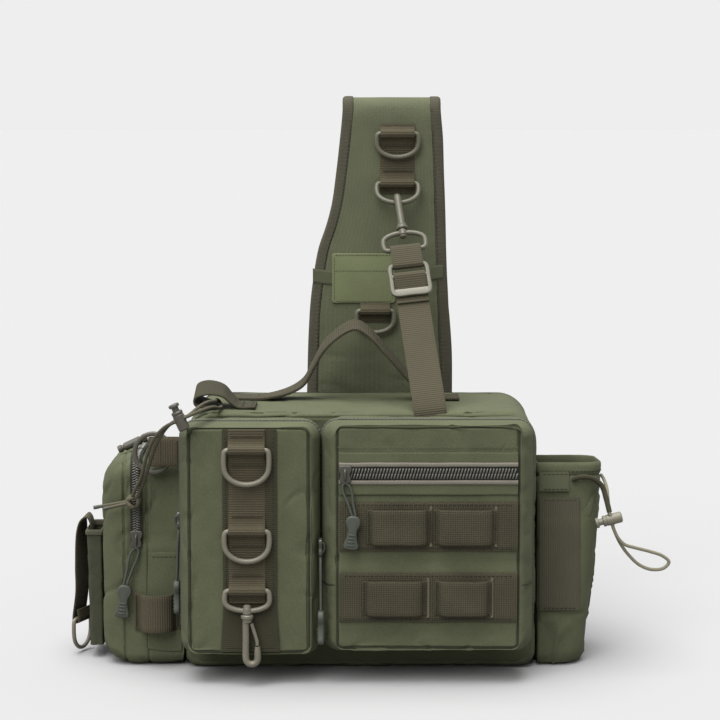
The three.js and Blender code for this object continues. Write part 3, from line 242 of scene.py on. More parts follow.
WEAVE = (("X", 0.75, 0.14), ("Y", 0.75, 0.14))
LOOKS = {
    "cloth": surface("cloth", (0.054, 0.059, 0.032), 0.85, contrast=0.28, grain=1.2, bump=0.3,
                     waves=WEAVE),
    "gusset": surface("gusset", (0.05, 0.053, 0.031), 0.85, contrast=0.2, waves=WEAVE),
    "pad": surface("pad", (0.064, 0.069, 0.04), 0.88, contrast=0.28, grain=1.2, bump=0.3, waves=WEAVE),
    "mesh": surface("spacer_mesh", (0.03, 0.031, 0.022), 0.95, contrast=0.3, bump=0.5,
                    waves=(("X", 2.4, 0.9), ("Y", 2.4, 0.9))),
    "lining": surface("lining", (0.031, 0.033, 0.02), 0.9, waves=WEAVE, slot="lining"),
    "patch": surface("patch", (0.094, 0.105, 0.054), 0.85, contrast=0.14, waves=WEAVE, slot="patch"),
    "binding": surface("binding", (0.044, 0.041, 0.028), 0.9, bump=0.25, contrast=0.22,
                       waves=(("Y", 1.1, 0.7), ("X", 0.8, 0.3)), slot="webbing"),
    "webbing": surface("webbing", (0.045, 0.038, 0.023), 0.9, contrast=0.26, bump=0.4,
                       waves=(("Y", 1.8, 1.0), ("X", 1.3, 0.4)), slot="webbing"),
    "base": surface("base_webbing", (0.026, 0.024, 0.0135), 0.92, contrast=0.22, bump=0.3,
                    waves=(("Y", 1.5, 0.7), ("X", 1.1, 0.5)), slot="webbing"),
    "band": surface("band_webbing", (0.037, 0.033, 0.02), 0.9, contrast=0.4, bump=0.5,
                    waves=(("Y", 1.7, 1.0), ("X", 1.6, 0.4)), slot="webbing"),
    "light_webbing": surface("light_webbing", (0.043, 0.038, 0.0235), 0.88, contrast=0.2, bump=0.3,
                             waves=(("Y", 1.7, 0.8), ("X", 1.2, 0.4)), slot="webbing"),
    "ribbed": surface("ribbed_webbing", (0.044, 0.041, 0.027), 0.9, contrast=0.24, bump=0.3,
                      waves=(("X", 1.7, 1.0), ("Y", 0.9, 0.3)), slot="webbing"),
    # Dark thread of the stitches; the same colour, laid as cords in the seam grooves, is painted shade
    # there
    "thread_and_seam_shade": surface("thread_and_seam_shade", (0.02, 0.02, 0.013), 0.85, bump=0.05, slot="webbing"),
    "metal": surface("metal", (0.1, 0.092, 0.069), 0.45, metallic=0.1, contrast=0.14, grain=1.6,
                     bump=0.05, shine=0.35, slot="metal"),
    "hook_metal": surface("hook_metal", (0.064, 0.061, 0.041), 0.48, metallic=0.1, contrast=0.16,
                          grain=1.6, bump=0.05, shine=0.35, slot="metal"),
    "slider": surface("slider_metal", (0.032, 0.031, 0.023), 0.38, metallic=0.2, contrast=0.14, grain=1.6,
                      bump=0.05, shine=0.5, slot="metal"),
    "rubber": surface("rubber", (0.028, 0.033, 0.024), 0.58, contrast=0.12, grain=0.6, bump=0.08,
                      shine=0.35, slot="rubber"),
    "teeth": surface("zipper_teeth", (0.07, 0.068, 0.056), 0.4, metallic=0.3, bump=0.03, shine=0.5,
                     slot="zipper"),
    "tape": surface("zipper_tape", (0.014, 0.014, 0.011), 0.9, waves=WEAVE, slot="zipper"),
    "lip": surface("zipper_lip", (0.105, 0.096, 0.077), 0.8, contrast=0.2, bump=0.2,
                   waves=(("Y", 1.2, 0.8),), slot="webbing"),
    "post": surface("post", (0.07, 0.065, 0.043), 0.85, bump=0.2, waves=(("Y", 1.2, 0.8),),
                    slot="webbing"),
    "dark_cord": surface("dark_cord", (0.056, 0.051, 0.033), 0.8, contrast=0.24, bump=0.25, grain=0.7,
                         waves=(("DIAGONAL", 1.1, 0.9),), slot="dark_cord"),
    "pale_cord": surface("pale_cord", (0.13, 0.122, 0.086), 0.8, contrast=0.2, bump=0.25, grain=0.7,
                         waves=(("DIAGONAL", 1.1, 0.9),), slot="pale_cord"),
    "dark_lock": surface("dark_lock", (0.04, 0.037, 0.026), 0.5, contrast=0.1, bump=0.05, shine=0.4,
                         slot="dark_lock"),
    "pale_lock": surface("pale_lock", (0.1, 0.093, 0.066), 0.5, contrast=0.1, bump=0.05, shine=0.4,
                         slot="pale_lock"),
}


def piece(obj, *nodes, body="bag"):
    """The object rides on a body of the model and may stand for some of its nodes."""
    if nodes:
        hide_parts(*nodes)
    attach(obj, body)
    return obj


def make_object(name, vertices, faces, look, uvs=None, sharp=50):
    mesh = bpy.data.meshes.new(name)
    mesh.from_pydata((np.array(vertices, float) * MM).tolist(), [], faces)
    if uvs is not None:
        layer = mesh.uv_layers.new(name="UVMap")
        layer.data.foreach_set("uv", (np.array(uvs, float) * MM).ravel())
    shell = bmesh.new()
    shell.from_mesh(mesh)
    bmesh.ops.recalc_face_normals(shell, faces=shell.faces)
    shell.to_mesh(mesh)
    shell.free()
    mesh.shade_smooth()
    mesh.set_sharp_from_angle(angle=math.radians(sharp))
    mesh.materials.append(LOOKS[look])
    obj = bpy.data.objects.new(name, mesh)
    bpy.context.collection.objects.link(obj)
    return obj


def skin(name, rows, look, looped=False, across=None, spots=None, place=None, sharp=50):
    """A surface through rows of points. Its UV coordinates are lengths on the surface."""
    rows = np.array(rows, float)
    count, wide = rows.shape[:2]
    bands = count if looped else count - 1
    if spots is None:
        if across is None:
            ring = rows[count // 2]
            closed = np.vstack([ring, ring[:1]])
            across = np.r_[0, np.cumsum(np.linalg.norm(np.diff(closed, axis=0), axis=1))]
        else:
            across = np.r_[across, across[0]]
        ahead = np.roll(rows, -1, axis=0) - rows
        steps = np.linalg.norm(ahead, axis=2).mean(axis=1)
        up = np.r_[0, np.cumsum(steps)]
        spots = np.stack(np.meshgrid(across, up), axis=2)
    faces = []
    uvs = []
    for i in range(bands):
        low = i * wide
        high = (i + 1) % count * wide
        for j in range(wide):
            k = (j + 1) % wide
            faces.append((low + j, low + k, high + k, high + j))
            uvs += [spots[i][j], spots[i][j + 1], spots[i + 1][j + 1], spots[i + 1][j]]
    if not looped:
        for start in (0, (count - 1) * wide):
            faces.append(tuple(range(start, start + wide)))
            uvs += [p[[0, 2]] for p in rows[start // wide]]
    if place is not None:
        rows = rows @ place[:3, :3].T + place[:3, 3]
    return make_object(name, rows.reshape(-1, 3), faces, look, uvs, sharp)


def circle(radius, sides=14):
    angles = np.linspace(0, 2 * math.pi, sides, endpoint=False)
    return np.stack([radius * np.cos(angles), radius * np.sin(angles)], axis=1)


def block(width, height, corner, steps=4):
    """A rounded rectangle as a cross-section."""
    points = []
    for quarter, (s, f) in enumerate(((1, 1), (-1, 1), (-1, -1), (1, -1))):
        for i in range(steps + 1):
            angle = (quarter + i / steps) * math.pi / 2
            points.append((
                s * (width / 2 - corner) + corner * math.cos(angle),
                f * (height / 2 - corner) + corner * math.sin(angle),
            ))
    return np.array(points)


def strip(thickness, count=9):
    """The cross-section of flat webbing with soft edges, for a given half width."""
    def section(half):
        t = thickness / 2
        inner = np.linspace(-half + t, half - t, count)
        top = [(s, t) for s in inner]
        low = [(s, -t) for s in inner[::-1]]
        sides = [(half, 0.5 * t), (half, -0.5 * t)]
        return np.array([*top, *sides, *low, *[(-s, -f) for s, f in sides]])
    return section


def frames(line, across, normal, wide, spacing, looped):
    """Rows of (spot, side, face, width) along a smooth line."""
    line = np.array(line, float)
    sides = np.broadcast_to(ACROSS if across is None else np.array(across, float), line.shape)
    widths = np.broadcast_to(np.array(wide, float), len(line))[:, None]
    path = smooth_line(np.hstack([line, sides, widths]), spacing, looped)
    spots = path[:, :3]
    if looped:
        along = np.roll(spots, -1, axis=0) - np.roll(spots, 1, axis=0)
    else:
        along = np.gradient(spots, axis=0)
    side = unit(np.cross(unit(along[0]), UPWARD if abs(unit(along[0])[2]) < 0.8 else ACROSS))
    rows = []
    for i in range(len(spots)):
        ahead = unit(along[i])
        if across is not None:
            side = unit(path[i, 3:6])
            face = unit(np.cross(ahead, side))
        elif normal is not None:
            face = unit(normal)
            side = unit(np.cross(ahead, face))
        else:
            side = unit(side - ahead * side.dot(ahead))
            face = np.cross(ahead, side)
        rows.append((spots[i], side, face, path[i, 6]))
    return rows


def sweep(name, line, section, look, across=None, normal=None, wide=1.0, spacing=1.5,
          looped=False, place=None):
    rows = []
    for spot, side, face, width in frames(line, across, normal, wide, spacing, looped):
        shape = section(width) if callable(section) else section * width
        rows.append(spot + shape[:, :1] * side + shape[:, 1:] * face)
    u = shape[:, 0] if callable(section) else None
    return skin(name, rows, look, looped=looped, across=u, place=place)


def ribbon(name, line, across, width, look, thickness=WEB, spacing=1.5, place=None):
    half = np.array(width, float) / 2
    return sweep(
        name, line, strip(thickness), look, across=across, wide=half, spacing=spacing, place=place)


def lathe(name, profile, look, place=None, flat=None):
    """A turned part round Z. "flat" shaves its two sides in X to that half width."""
    sides = 28
    angles = np.linspace(0, 2 * math.pi, sides, endpoint=False)
    rows = []
    for radius, z in profile:
        x = radius * np.cos(angles)
        if flat is not None:
            x = np.clip(x, -flat, flat)
        rows.append(np.stack([x, radius * np.sin(angles), np.full(sides, z)], axis=1))
    return skin(name, rows, look, place=place, sharp=35)


def slab(name, outline_2d, thickness, edge, look, place=None, spacing=0.6):
    """A plate drawn in X and Z, with rounded edges, whose middle plane is at y = 0."""
    shape = smooth_line([(x, 0, z) for x, z in outline_2d], spacing, looped=True)
    along = np.roll(shape, -1, axis=0) - np.roll(shape, 1, axis=0)
    inward = np.array([unit(np.cross(BACKWARD, a)) for a in along])
    middle = shape.mean(axis=0)
    if ((middle - shape) * inward).sum() < 0:
        inward = -inward
    rows = []
    angles = np.linspace(0, math.pi / 2, 5)
    for end in (-1, 1):
        for angle in angles if end < 0 else angles[::-1]:
            inset = edge * (1 - math.sin(angle))
            y = end * (thickness / 2 - edge + edge * math.cos(angle))
            rows.append(shape + inset * inward + y * BACKWARD)
    return skin(name, rows, look, place=place, sharp=60)


def studs(name, spots, size, look, top=0.7):
    """Many small tapered blocks in one mesh. Each spot is (at, along, outward)."""
    length, width, height = size
    sunk = 0.15
    corners = [(-1, -1), (1, -1), (1, 1), (-1, 1)]
    vertices = []
    faces = []
    for at, along, outward in spots:
        along = unit(along)
        outward = unit(outward)
        side = np.cross(outward, along)
        start = len(vertices)
        for share, rise in ((1, -sunk), (1, 0.5 * height), (top, height)):
            for a, s in corners:
                vertices.append(
                    at + share * a * length / 2 * along + share * s * width / 2 * side + rise * outward)
        for level in (0, 4):
            for k in range(4):
                n = (k + 1) % 4
                faces.append(tuple(start + level + m for m in (k, n, n + 4, k + 4)))
        faces.append(tuple(start + 8 + k for k in range(4)))
        faces.append(tuple(start + k for k in (3, 2, 1, 0)))
    return make_object(name, vertices, faces, look, sharp=80)


def spots_on(line, outward, pitch, slant=0.0, weave=0.0):
    """Evenly spaced spots along a line; every other one may lean and sit to one side."""
    fine = smooth_line(line, pitch / 4)
    run = np.r_[0, np.cumsum(np.linalg.norm(np.diff(fine, axis=0), axis=1))]
    spots = []
    for n, at in enumerate(np.arange(pitch, run[-1], pitch)):
        here = np.array([np.interp(at, run, column) for column in fine.T])
        ahead = np.array([np.interp(at + 0.3, run, column) for column in fine.T])
        behind = np.array([np.interp(at - 0.3, run, column) for column in fine.T])
        along = unit(ahead - behind)
        out = outward(here) if callable(outward) else np.array(outward, float)
        side = unit(np.cross(out, along))
        sign = 1 if n % 2 else -1
        spots.append((here + sign * weave * side, along + sign * slant * side, out))
    return spots


def stitches(name, lines, look="thread_and_seam_shade", length=2.2, pitch=3.2, width=0.6, height=0.3):
    """Rows of sewn stitches. Each line is (points, outward)."""
    spots = []
    for line, outward in lines:
        spots += spots_on(line, outward, pitch)
    return piece(studs(name, spots, (length, width, height), look))


# Short, broad stitches across webbing
TACK = {"length": 1.4, "pitch": 1.9, "width": 1.2}


def vertex_data(obj):
    count = len(obj.data.vertices)
    at = np.empty(3 * count)
    normal = np.empty(3 * count)
    obj.data.vertices.foreach_get("co", at)
    obj.data.vertices.foreach_get("normal", normal)
    return at.reshape(-1, 3) / MM, normal.reshape(-1, 3)


def set_vertices(obj, at):
    obj.data.vertices.foreach_set("co", (at * MM).ravel())
    obj.data.update()


def rumple(obj, depth, size, seed, creases=0.0, stretch=(1, 1, 1), calm=()):
    """Soft dents and sharper creases, inwards only. Boxes in "calm" stay nearly flat."""
    at, normal = vertex_data(obj)
    scale = np.array(stretch, float) / size
    still = np.ones(len(at))
    for low, high in calm:
        away = np.maximum(np.maximum(np.array(low) - at, at - np.array(high)), 0)
        still = np.minimum(still, np.clip(np.linalg.norm(away, axis=1) / 9, 0.08, 1))
    move = np.empty(len(at))
    for i, p in enumerate(at * scale + seed * 7.31):
        spot = Vector(p)
        dent = 0.5 + 0.5 * noise.fractal(spot, 1.0, 2.0, 3)
        line = noise.noise(spot * 1.7 + Vector((3.1, 0, 5.7)))
        move[i] = depth * min(max(dent, 0), 1) + creases * math.exp(-(line / 0.07) ** 2)
    set_vertices(obj, at - normal * (move * still)[:, None])
    return obj


def wobble(obj, depth, size, seed):
    """Moves both faces of a thin piece the same way, so that it isn't dead straight."""
    at, _ = vertex_data(obj)
    for i, p in enumerate(at / size + seed * 3.7):
        at[i] += depth * np.array(noise.noise_vector(Vector(p)))
    set_vertices(obj, at)
    return obj


# Free cords first: their listed points are the model's own
LEFT_CORD = [
    [-172.5, -60.4, 135.1], [-169.5, -65, 142], [-165.2, -71, 150], [-160, -81, 167],
    [-155, -91, 179.5], [-150, -99, 187.5], [-143.5, -107, 194.5],
    [-137.2, -113.5, 198.6], [-131.7, -113.5, 201.1], [-126.2, -113.5, 203.5],
    [-116, -97, 206], [-110.4, -72, 204.6], [-107, -52, 201.3], [-106, -42, 200.75],
    [-106.4, -34, 201.2], [-108, -30.6, 203.2], [-109.5, -34, 205], [-110.2, -43, 205.4],
    [-112, -56, 206.8], [-114.4, -75, 208.6], [-118.6, -98, 208.6],
    [-126.2, -110.5, 203.5], [-131.7, -110.5, 201.1], [-137.2, -110.5, 198.6],
    [-142.5, -103.5, 193.5], [-148, -96.5, 185], [-152.4, -87.5, 176.5], [-157.2, -78, 164],
    [-162.6, -68.5, 148.5], [-166, -63, 140.5], [-168.6, -59.4, 134.4],
]
RIGHT_CORD = [
    [162.6, -40.9, 144.2], [169, -42.4, 146.4], [178, -41, 145.2], [185.6, -39.5, 139],
    [188.6, -42.5, 130], [190.9, -46.8, 120], [192.4, -46.8, 114.2], [193.9, -46.8, 108.4],
    [197.4, -46.6, 100.5], [203, -45.6, 94.6], [211.4, -43.5, 91.6], [222.5, -41.5, 88.4],
    [233, -40.4, 84.6], [238, -40.2, 79.8], [234, -40.4, 75], [224.6, -40.6, 74],
    [215, -41, 77.8], [206, -41.4, 86.4], [199.6, -42, 95.6],
    [193.9, -43.8, 108.4], [192.4, -43.8, 114.2], [190.9, -43.8, 120],
    [190.6, -38, 129], [190.4, -30, 136], [189.4, -20, 140.6], [188.4, -9, 142.4],
]
CORD = 1.3
PULLER_CORD = 1
KNOT = point(-172, -57.5, 130)
KNOT_TAILS = [
    [[-174, -58.4, 129.4], [-184, -60, 127.4], [-194.5, -61, 125.2]],
    [[-174, -56, 130.4], [-188, -57, 128], [-202.5, -58.4, 125.6]],
]


def free_cord(name, route, radius, look, node, spacing=1.0):
    tube = piece(sweep(name, route, circle(radius), look, spacing=spacing), node)
    path = smooth_line(route, spacing) * MM
    return tube


def knot():
    """A tight knot: three loops of cord round each other, and two tails with dark tips."""
    made = []
    for turn, tilt, size in ((0.2, 0.5, 4.2), (1.3, -0.6, 4.5), (2.3, 0.25, 3.9)):
        ring = [
            KNOT + np.array(Matrix.Rotation(turn, 3, "Y") @ Matrix.Rotation(tilt, 3, "X")) @ point(
                size * math.cos(a), 1.3 * math.sin(2 * a), size * math.sin(a))
            for a in np.linspace(0, 2 * math.pi, 12, endpoint=False)
        ]
        made.append(sweep(
            f"knot_wrap_{len(made)}", ring, circle(1.6), "dark_cord", spacing=0.7, looped=True))
    for n, tail in enumerate(KNOT_TAILS):
        made.append(sweep(f"knot_tail_{n}", tail, circle(CORD), "dark_cord", spacing=1))
        end = np.array(tail[-1], float)
        back = end + 4 * unit(np.array(tail[-2], float) - end)
        made.append(sweep(f"knot_tip_{n}", [back, (back + end) / 2, end], circle(CORD + 0.15), "rubber"))
    return made


knot_pieces = knot()
piece(knot_pieces[0], "cord_knot_left")
for part in knot_pieces[1:]:
    piece(part)
free_cord("left_cord", LEFT_CORD, CORD, "dark_cord", "elastic_cord_left")
free_cord("right_cord", RIGHT_CORD, CORD, "pale_cord", "elastic_cord_right")
piece(sweep("cord_sleeve", RIGHT_CORD[:6], circle(2), "base", spacing=1))

# Zipper pullers: slider, a loop of thin cord and a rubber tab
ZIP_Z = 160
ZIP_THICKNESS = 1.6
SLIDER_HEIGHT = 11
SLIDER_THICKNESS = 2.6
SLIDER_OUT = SEAM + SLIDER_THICKNESS / 2
ZIP_LAYER = POCKET_FACE - SEAM - ZIP_THICKNESS - SLIDER_OUT
LEFT_GUSSET = LEFT_MIDDLE - LEFT_WIDTH / 2
GROOVE_X = LEFT_MIDDLE + LEFT_WIDTH / 2 + 0.4
GROOVE_Y = POCKET_FACE + 5
QUARTER = math.pi / 2
# Name, slider's middle, top of the tab, turn round Z and lean of the tab
PULLERS = [
    ("front", (-11, ZIP_LAYER, ZIP_Z), (-4.6, ZIP_LAYER - 2.2, 129), 0, 0.1),
    ("end", (-171, END_FRONT - SLIDER_OUT, 100), (-179.6, END_FRONT - 3.8, 64.5), 0, 0.12),
    ("left", (LEFT_GUSSET - SLIDER_OUT, -76, 120), (LEFT_GUSSET - 3.4, -77, 73.5), QUARTER, 0),
    ("middle", (GROOVE_X - 0.3, GROOVE_Y, 104), (GROOVE_X, GROOVE_Y - 6, 57), QUARTER, 0),
]
# Share of the way down to the tab, and distance to one side
PULLER_LOOP = [
    (1, -1.25), (0.6, -2), (0.28, -3.1), (0.07, -2.3), (0, 0), (0.07, 2.3), (0.28, 3.1), (0.6, 2),
    (1, 1.25),
]
TAB_OUTLINE = [
    (-2.4, 0), (2.4, 0), (4.7, -1.8), (5.6, -4.6), (4.9, -7.6), (3.7, -10), (3.6, -13.5), (4.5, -18),
    (5.6, -22), (5.1, -24.2), (3.2, -25), (-3.2, -25), (-5.1, -24.2), (-5.6, -22), (-4.5, -18),
    (-3.6, -13.5), (-3.7, -10), (-4.9, -7.6), (-5.6, -4.6), (-4.7, -1.8),
]
SLIDER_OUTLINE = [
    (-3.3, -6.2), (0, -6.5), (3.3, -6.2), (4.1, -3.4), (3.5, -0.5), (4.9, 3.4), (4.3, 5.8), (0, 6.5),
    (-4.3, 5.8), (-4.9, 3.4), (-3.5, -0.5), (-4.1, -3.4),
]
for name, slider, tab, turn, lean in PULLERS:
    sideways = point(math.cos(turn), math.sin(turn), 0)
    front = point(math.sin(turn), -math.cos(turn), 0)
    if name == "left":
        front = -ACROSS
    eye = np.array(slider, float) - (SLIDER_HEIGHT / 2 + SEAM + PULLER_CORD) * UPWARD
    grip = np.array(tab, float) + SLACK * UPWARD
    route = [eye + fall * (grip - eye) + side * sideways for fall, side in PULLER_LOOP]
    free_cord(f"pull_{name}", route, PULLER_CORD, "rubber", f"puller_cord_{name}", spacing=0.8)
    place = shift(*slider) @ turned("Z", turn)
    plate = slab(f"slider_{name}", SLIDER_OUTLINE, SLIDER_THICKNESS, 0.6, "slider", place=place)
    piece(plate, f"zip_slider_{name}")
    arch = [np.array(slider) + rise * front + z * UPWARD for rise, z in (
        (1, 3.2), (2.4, 2.2), (2.7, 0), (2.4, -2.6), (1.1, -4.6))]
    piece(sweep(f"slider_bridge_{name}", arch, circle(1), "slider", spacing=0.5))
    place = shift(*tab) @ turned("Y", lean) @ turned("Z", turn)
    piece(slab(f"tab_{name}", TAB_OUTLINE, 4.6, 1.3, "rubber", place=place), f"puller_tab_{name}")
    grips = []
    for z in (-14, -16.6, -19.2, -21.8):
        for side in (-1, 1):
            at = place @ np.array([0, side * 2.2, z, 1])
            out = place[:3, :3] @ point(0, side, 0)
            grips.append((at[:3], place[:3, :3] @ ACROSS, out))
    piece(studs(f"tab_ribs_{name}", grips, (5.6, 1.1, 0.55), "rubber"))


# Sewn cloth shells
CORNER_STEPS = 12
GROOVE_HALF = 0.85
SHELL_STEP = 2.4
SEAM_RADIUS = 0.6
SEAMS = {}


def rounded(half, bottom, top, low, high, across_fill, up_fill):
    """A rounded rectangle in (u, v) with a fixed number of points on each side."""
    corners = [
        (-half + low, bottom + low, low, 2), (half - low, bottom + low, low, 3),
        (half - high, top - high, high, 0), (-half + high, top - high, high, 1),
    ]
    arcs = []
    for u, v, radius, quarter in corners:
        angles = (quarter + np.linspace(0, 1, CORNER_STEPS + 1)) * math.pi / 2
        arcs.append(np.stack([u + radius * np.cos(angles), v + radius * np.sin(angles)], axis=1))
    points = []
    for n, arc in enumerate(arcs):
        fill = across_fill if n % 2 == 0 else up_fill
        ahead = arcs[(n + 1) % 4][0]
        shares = np.linspace(0, 1, fill + 2)[1:-1, None]
        points += [arc, arc[-1] + shares * (ahead - arc[-1])]
    return np.vstack(points)


def shell_ring(size, w, inset=0.0):
    """The outline of a sewn shell at depth w, drawn in by inset."""
    share = 0.0
    if w < 0.3 * size["reach"]:
        share = size.get("pinch", 0) * (1 - w / (0.3 * size["reach"]))
    elif w > size["reach"] - size["depth"]:
        rise = 1 - (size["reach"] - w) / size["depth"]
        share = 1 - math.sqrt(max(1 - rise * rise, 0))
    half = size["width"] / 2 - share * size["side"] - inset
    bottom = size["bottom"] + share * size["low_in"] + inset
    top = size["top"] - share * size["top_in"] - inset
    tight = share ** 3 * size.get("tight", 0) + inset
    return rounded(
        half, bottom, top, max(size["low"] - tight, 2), max(size["high"] - tight, 2),
        size["fill"][0], size["fill"][1],
    ), share


def shell(name, size, place, look, grooves=(), roll=0.35, groove=1.7):
    """A padded cloth shell, sewn along the edge of its face in a groove."""
    depths = list(np.arange(0, size["reach"] - size["depth"], SHELL_STEP))
    sides = [d for d in (4.6, 3.2, 2.2, 1.5, 1, 0.5, 0) if d < 0.9 * size["side"]]
    angles = list(np.linspace(0, math.acos(5.5 / max(size["side"], 5.6)), 9))
    angles += [math.acos(min(d / size["side"], 1)) for d in sides]
    depths += [size["reach"] - size["depth"] * (1 - math.sin(a)) for a in angles]
    for g in grooves:
        depths += [g + d for d in (-2.4, -1.4, -0.7, 0, 0.7, 1.4, 2.4)]
    depths = sorted(set(round(d, 3) for d in depths if 0 <= d <= size["reach"]))
    rows = []
    spots = []
    for w in depths:
        dip = sum(1.1 * math.exp(-((w - g) / 0.9) ** 2) for g in grooves)
        ring, share = shell_ring(size, w, dip)
        away = (1 - share) * size["side"]
        lower = groove * math.exp(-(away / GROOVE_HALF) ** 2) - roll * math.exp(-((away - 4) / 2.2) ** 2)
        run = np.r_[0, np.cumsum(np.linalg.norm(np.diff(np.vstack([ring, ring[:1]]), axis=0), axis=1))]
        spots.append(np.stack([run, np.full(len(run), w)], axis=1))
        rows.append([place(u, v, w - lower) for u, v in ring])
    SEAMS[name] = ((len(rows) - 1) * len(ring), len(ring))
    reach = size["reach"]
    middle = np.array([0, (size["bottom"] + size["top"]) / 2])
    insets = [0.4, 0.8, 1.2, 1.8, 2.6, 4]
    last, _ = shell_ring(size, reach, insets[-1])
    rings = [(shell_ring(size, reach, d)[0], d) for d in insets]
    half = size["width"] / 2 - size["side"] - insets[-1]
    for k in np.linspace(1, 0.03, max(int(half / 2.6), 6))[1:]:
        rings.append((middle + k * (last - middle), 10))
    for ring, away in rings:
        lower = groove * math.exp(-(away / GROOVE_HALF) ** 2)
        spots.append(np.vstack([ring, ring[:1]]))
        rows.append([place(u, v, reach - lower) for u, v in ring])
    return skin(name, rows, look, spots=spots)


def seam_shade_line(obj):
    """A dark cord laid in the groove where the face is sewn to its sides: painted shade of the groove."""
    first, count = SEAMS[obj.name]
    at, normal = vertex_data(obj)
    line = at[first:first + count:2] + 0.55 * normal[first:first + count:2]
    return piece(sweep(
        f"{obj.name}_seam", line, circle(SEAM_RADIUS, 8), "thread_and_seam_shade", spacing=1.2, looped=True))


def along_shell(size, place, w, first, last, out=0.0):
    """Points along a shell's outline at depth w, between two shares of its round."""
    ring, _ = shell_ring(size, w, -out)
    ring = np.vstack([ring, ring[:1]])
    run = np.r_[0, np.cumsum(np.linalg.norm(np.diff(ring, axis=0), axis=1))]
    stops = np.linspace(first, last, 60) % 1 * run[-1]
    return [place(np.interp(s, run, ring[:, 0]), np.interp(s, run, ring[:, 1]), w) for s in stops]


# Sizes of the shells: the outline, how far it reaches out, and how its last stretch of that
# depth closes in at the sides, top and bottom
BODY = {
    "width": BODY_WIDTH, "bottom": 0, "top": BODY_HEIGHT, "reach": BODY_DEPTH, "low": 12, "high": 24,
    "depth": 6, "side": 5, "top_in": 5, "low_in": 5, "fill": (60, 40),
}
POCKET_CORNER = 12
POCKET = {
    "reach": POCKET_DEPTH, "low": POCKET_CORNER, "high": POCKET_CORNER, "depth": 22, "top_in": 2.5,
    "low_in": 5, "pinch": 0.4, "tight": 8.5,
}
GUSSET_GROOVES = (22, 31)
LEFT_POCKET = {
    "width": LEFT_WIDTH, "bottom": LEFT_BOTTOM, "top": LEFT_TOP, "side": 8.5, "fill": (34, 60), **POCKET,
}
RIGHT_POCKET = {
    "width": RIGHT_WIDTH, "bottom": RIGHT_BOTTOM, "top": RIGHT_TOP, "side": 12, "fill": (54, 60), **POCKET,
}
END = {
    "width": END_DEPTH, "bottom": 0, "top": END_HEIGHT, "reach": END_REACH, "low": 10, "high": 16,
    "depth": 26, "side": 14, "top_in": 26, "low_in": 18, "fill": (30, 54),
}
PAD = {
    "width": BODY_WIDTH, "bottom": 0, "top": BODY_HEIGHT, "reach": BACK_PAD, "low": 12, "high": 24,
    "depth": 6, "side": 5.6, "top_in": 5.6, "low_in": 5.6, "fill": (80, 60),
}
END_MIDDLE = END_FRONT + END_DEPTH / 2


def in_body(u, v, w):
    return point(u, BACK - w, v)


def in_left(u, v, w):
    return point(LEFT_MIDDLE + u, FRONT - SEAM - w, v)


def in_right(u, v, w):
    return point(RIGHT_MIDDLE + u, FRONT - SEAM - w, v)


def in_end(u, v, w):
    return point(-SIDE - SEAM - w, END_MIDDLE + u, v)


def in_pad(u, v, w):
    return point(u, BACK + SEAM + w, v)


LADDER_X = -83.5
BAND_LEFT = RIGHT_MIDDLE - RIGHT_WIDTH / 2 + 13
BAND_RIGHT = RIGHT_MIDDLE + RIGHT_WIDTH / 2 - 13
UPPER_BAND_Z = 120.5
LOWER_BAND_Z = 67
BAND_HALF = 18.5
GUSSET_BAND = ((-300, -90, 0), (300, -74, 300))
body = piece(
    shell("body_cloth", BODY, in_body, "cloth", grooves=(3.5,), groove=0.5, roll=0.1), "main_body")
rumple(body, 1.4, 46, 1, creases=0.7, stretch=(1, 0.7, 1.3))
left = piece(
    shell("left_pocket_cloth", LEFT_POCKET, in_left, "cloth", grooves=GUSSET_GROOVES), "left_pocket")
rumple(left, 1.9, 34, 2, creases=0.9, stretch=(1, 1, 0.7), calm=[
    ((LADDER_X - 18, -106, 24), (LADDER_X + 22, -104, 195)), GUSSET_BAND,
])
right = piece(
    shell("right_pocket_cloth", RIGHT_POCKET, in_right, "cloth", grooves=GUSSET_GROOVES), "right_pocket")
rumple(right, 1.9, 38, 3, creases=0.9, stretch=(0.8, 1, 1.2), calm=[
    ((BAND_LEFT, -106, UPPER_BAND_Z - BAND_HALF), (BAND_RIGHT, -104, UPPER_BAND_Z + BAND_HALF)),
    ((BAND_LEFT, -106, LOWER_BAND_Z - BAND_HALF), (BAND_RIGHT, -104, LOWER_BAND_Z + BAND_HALF)),
    ((BAND_LEFT, -106, 150), (BAND_RIGHT, -104, 170)), GUSSET_BAND,
])
end = piece(shell("end_pocket_cloth", END, in_end, "cloth", grooves=(27, 45), groove=1.2), "end_pocket")
rumple(end, 3.0, 40, 4, creases=1.3, stretch=(1, 1, 0.8), calm=[((-166, -54, 10), (-136, -46, 92))])

# Dark cords in the grooves where the pockets' faces and the right pocket's sides are sewn: painted shade
# of the grooves and folds at these seams
for cloth in (left, right):
    seam_shade_line(cloth)
SIDE_SEAM_Z = 76
SIDE_SEAM_RADIUS = 0.7
for side in (-1, 1):
    line = []
    for w in np.linspace(GUSSET_GROOVES[1] - 1, POCKET_DEPTH - 0.4, 12):
        share = shell_ring(RIGHT_POCKET, w)[1]
        half = RIGHT_WIDTH / 2 - share * RIGHT_POCKET["side"]
        line.append(in_right(side * (half - 0.3), SIDE_SEAM_Z, w - 0.5))
    piece(sweep(f"side_seam_{side + 1}", line, circle(SIDE_SEAM_RADIUS, 8), "thread_and_seam_shade"))


# The padded back is quilted in upright channels under an open mesh
def quilt(obj, pitch, depth):
    at, normal = vertex_data(obj)
    phase = (at[:, 0] / pitch + 0.5) % 1 - 0.5
    lines = np.exp(-(phase * pitch / 2.2) ** 2)
    edge = np.minimum(np.minimum(SIDE - np.abs(at[:, 0]), at[:, 2]), BODY_HEIGHT - at[:, 2])
    inner = np.clip((edge - 14) / 6, 0, 1) * (normal[:, 1] > 0.5)
    set_vertices(obj, at - normal * (depth * lines * inner)[:, None])


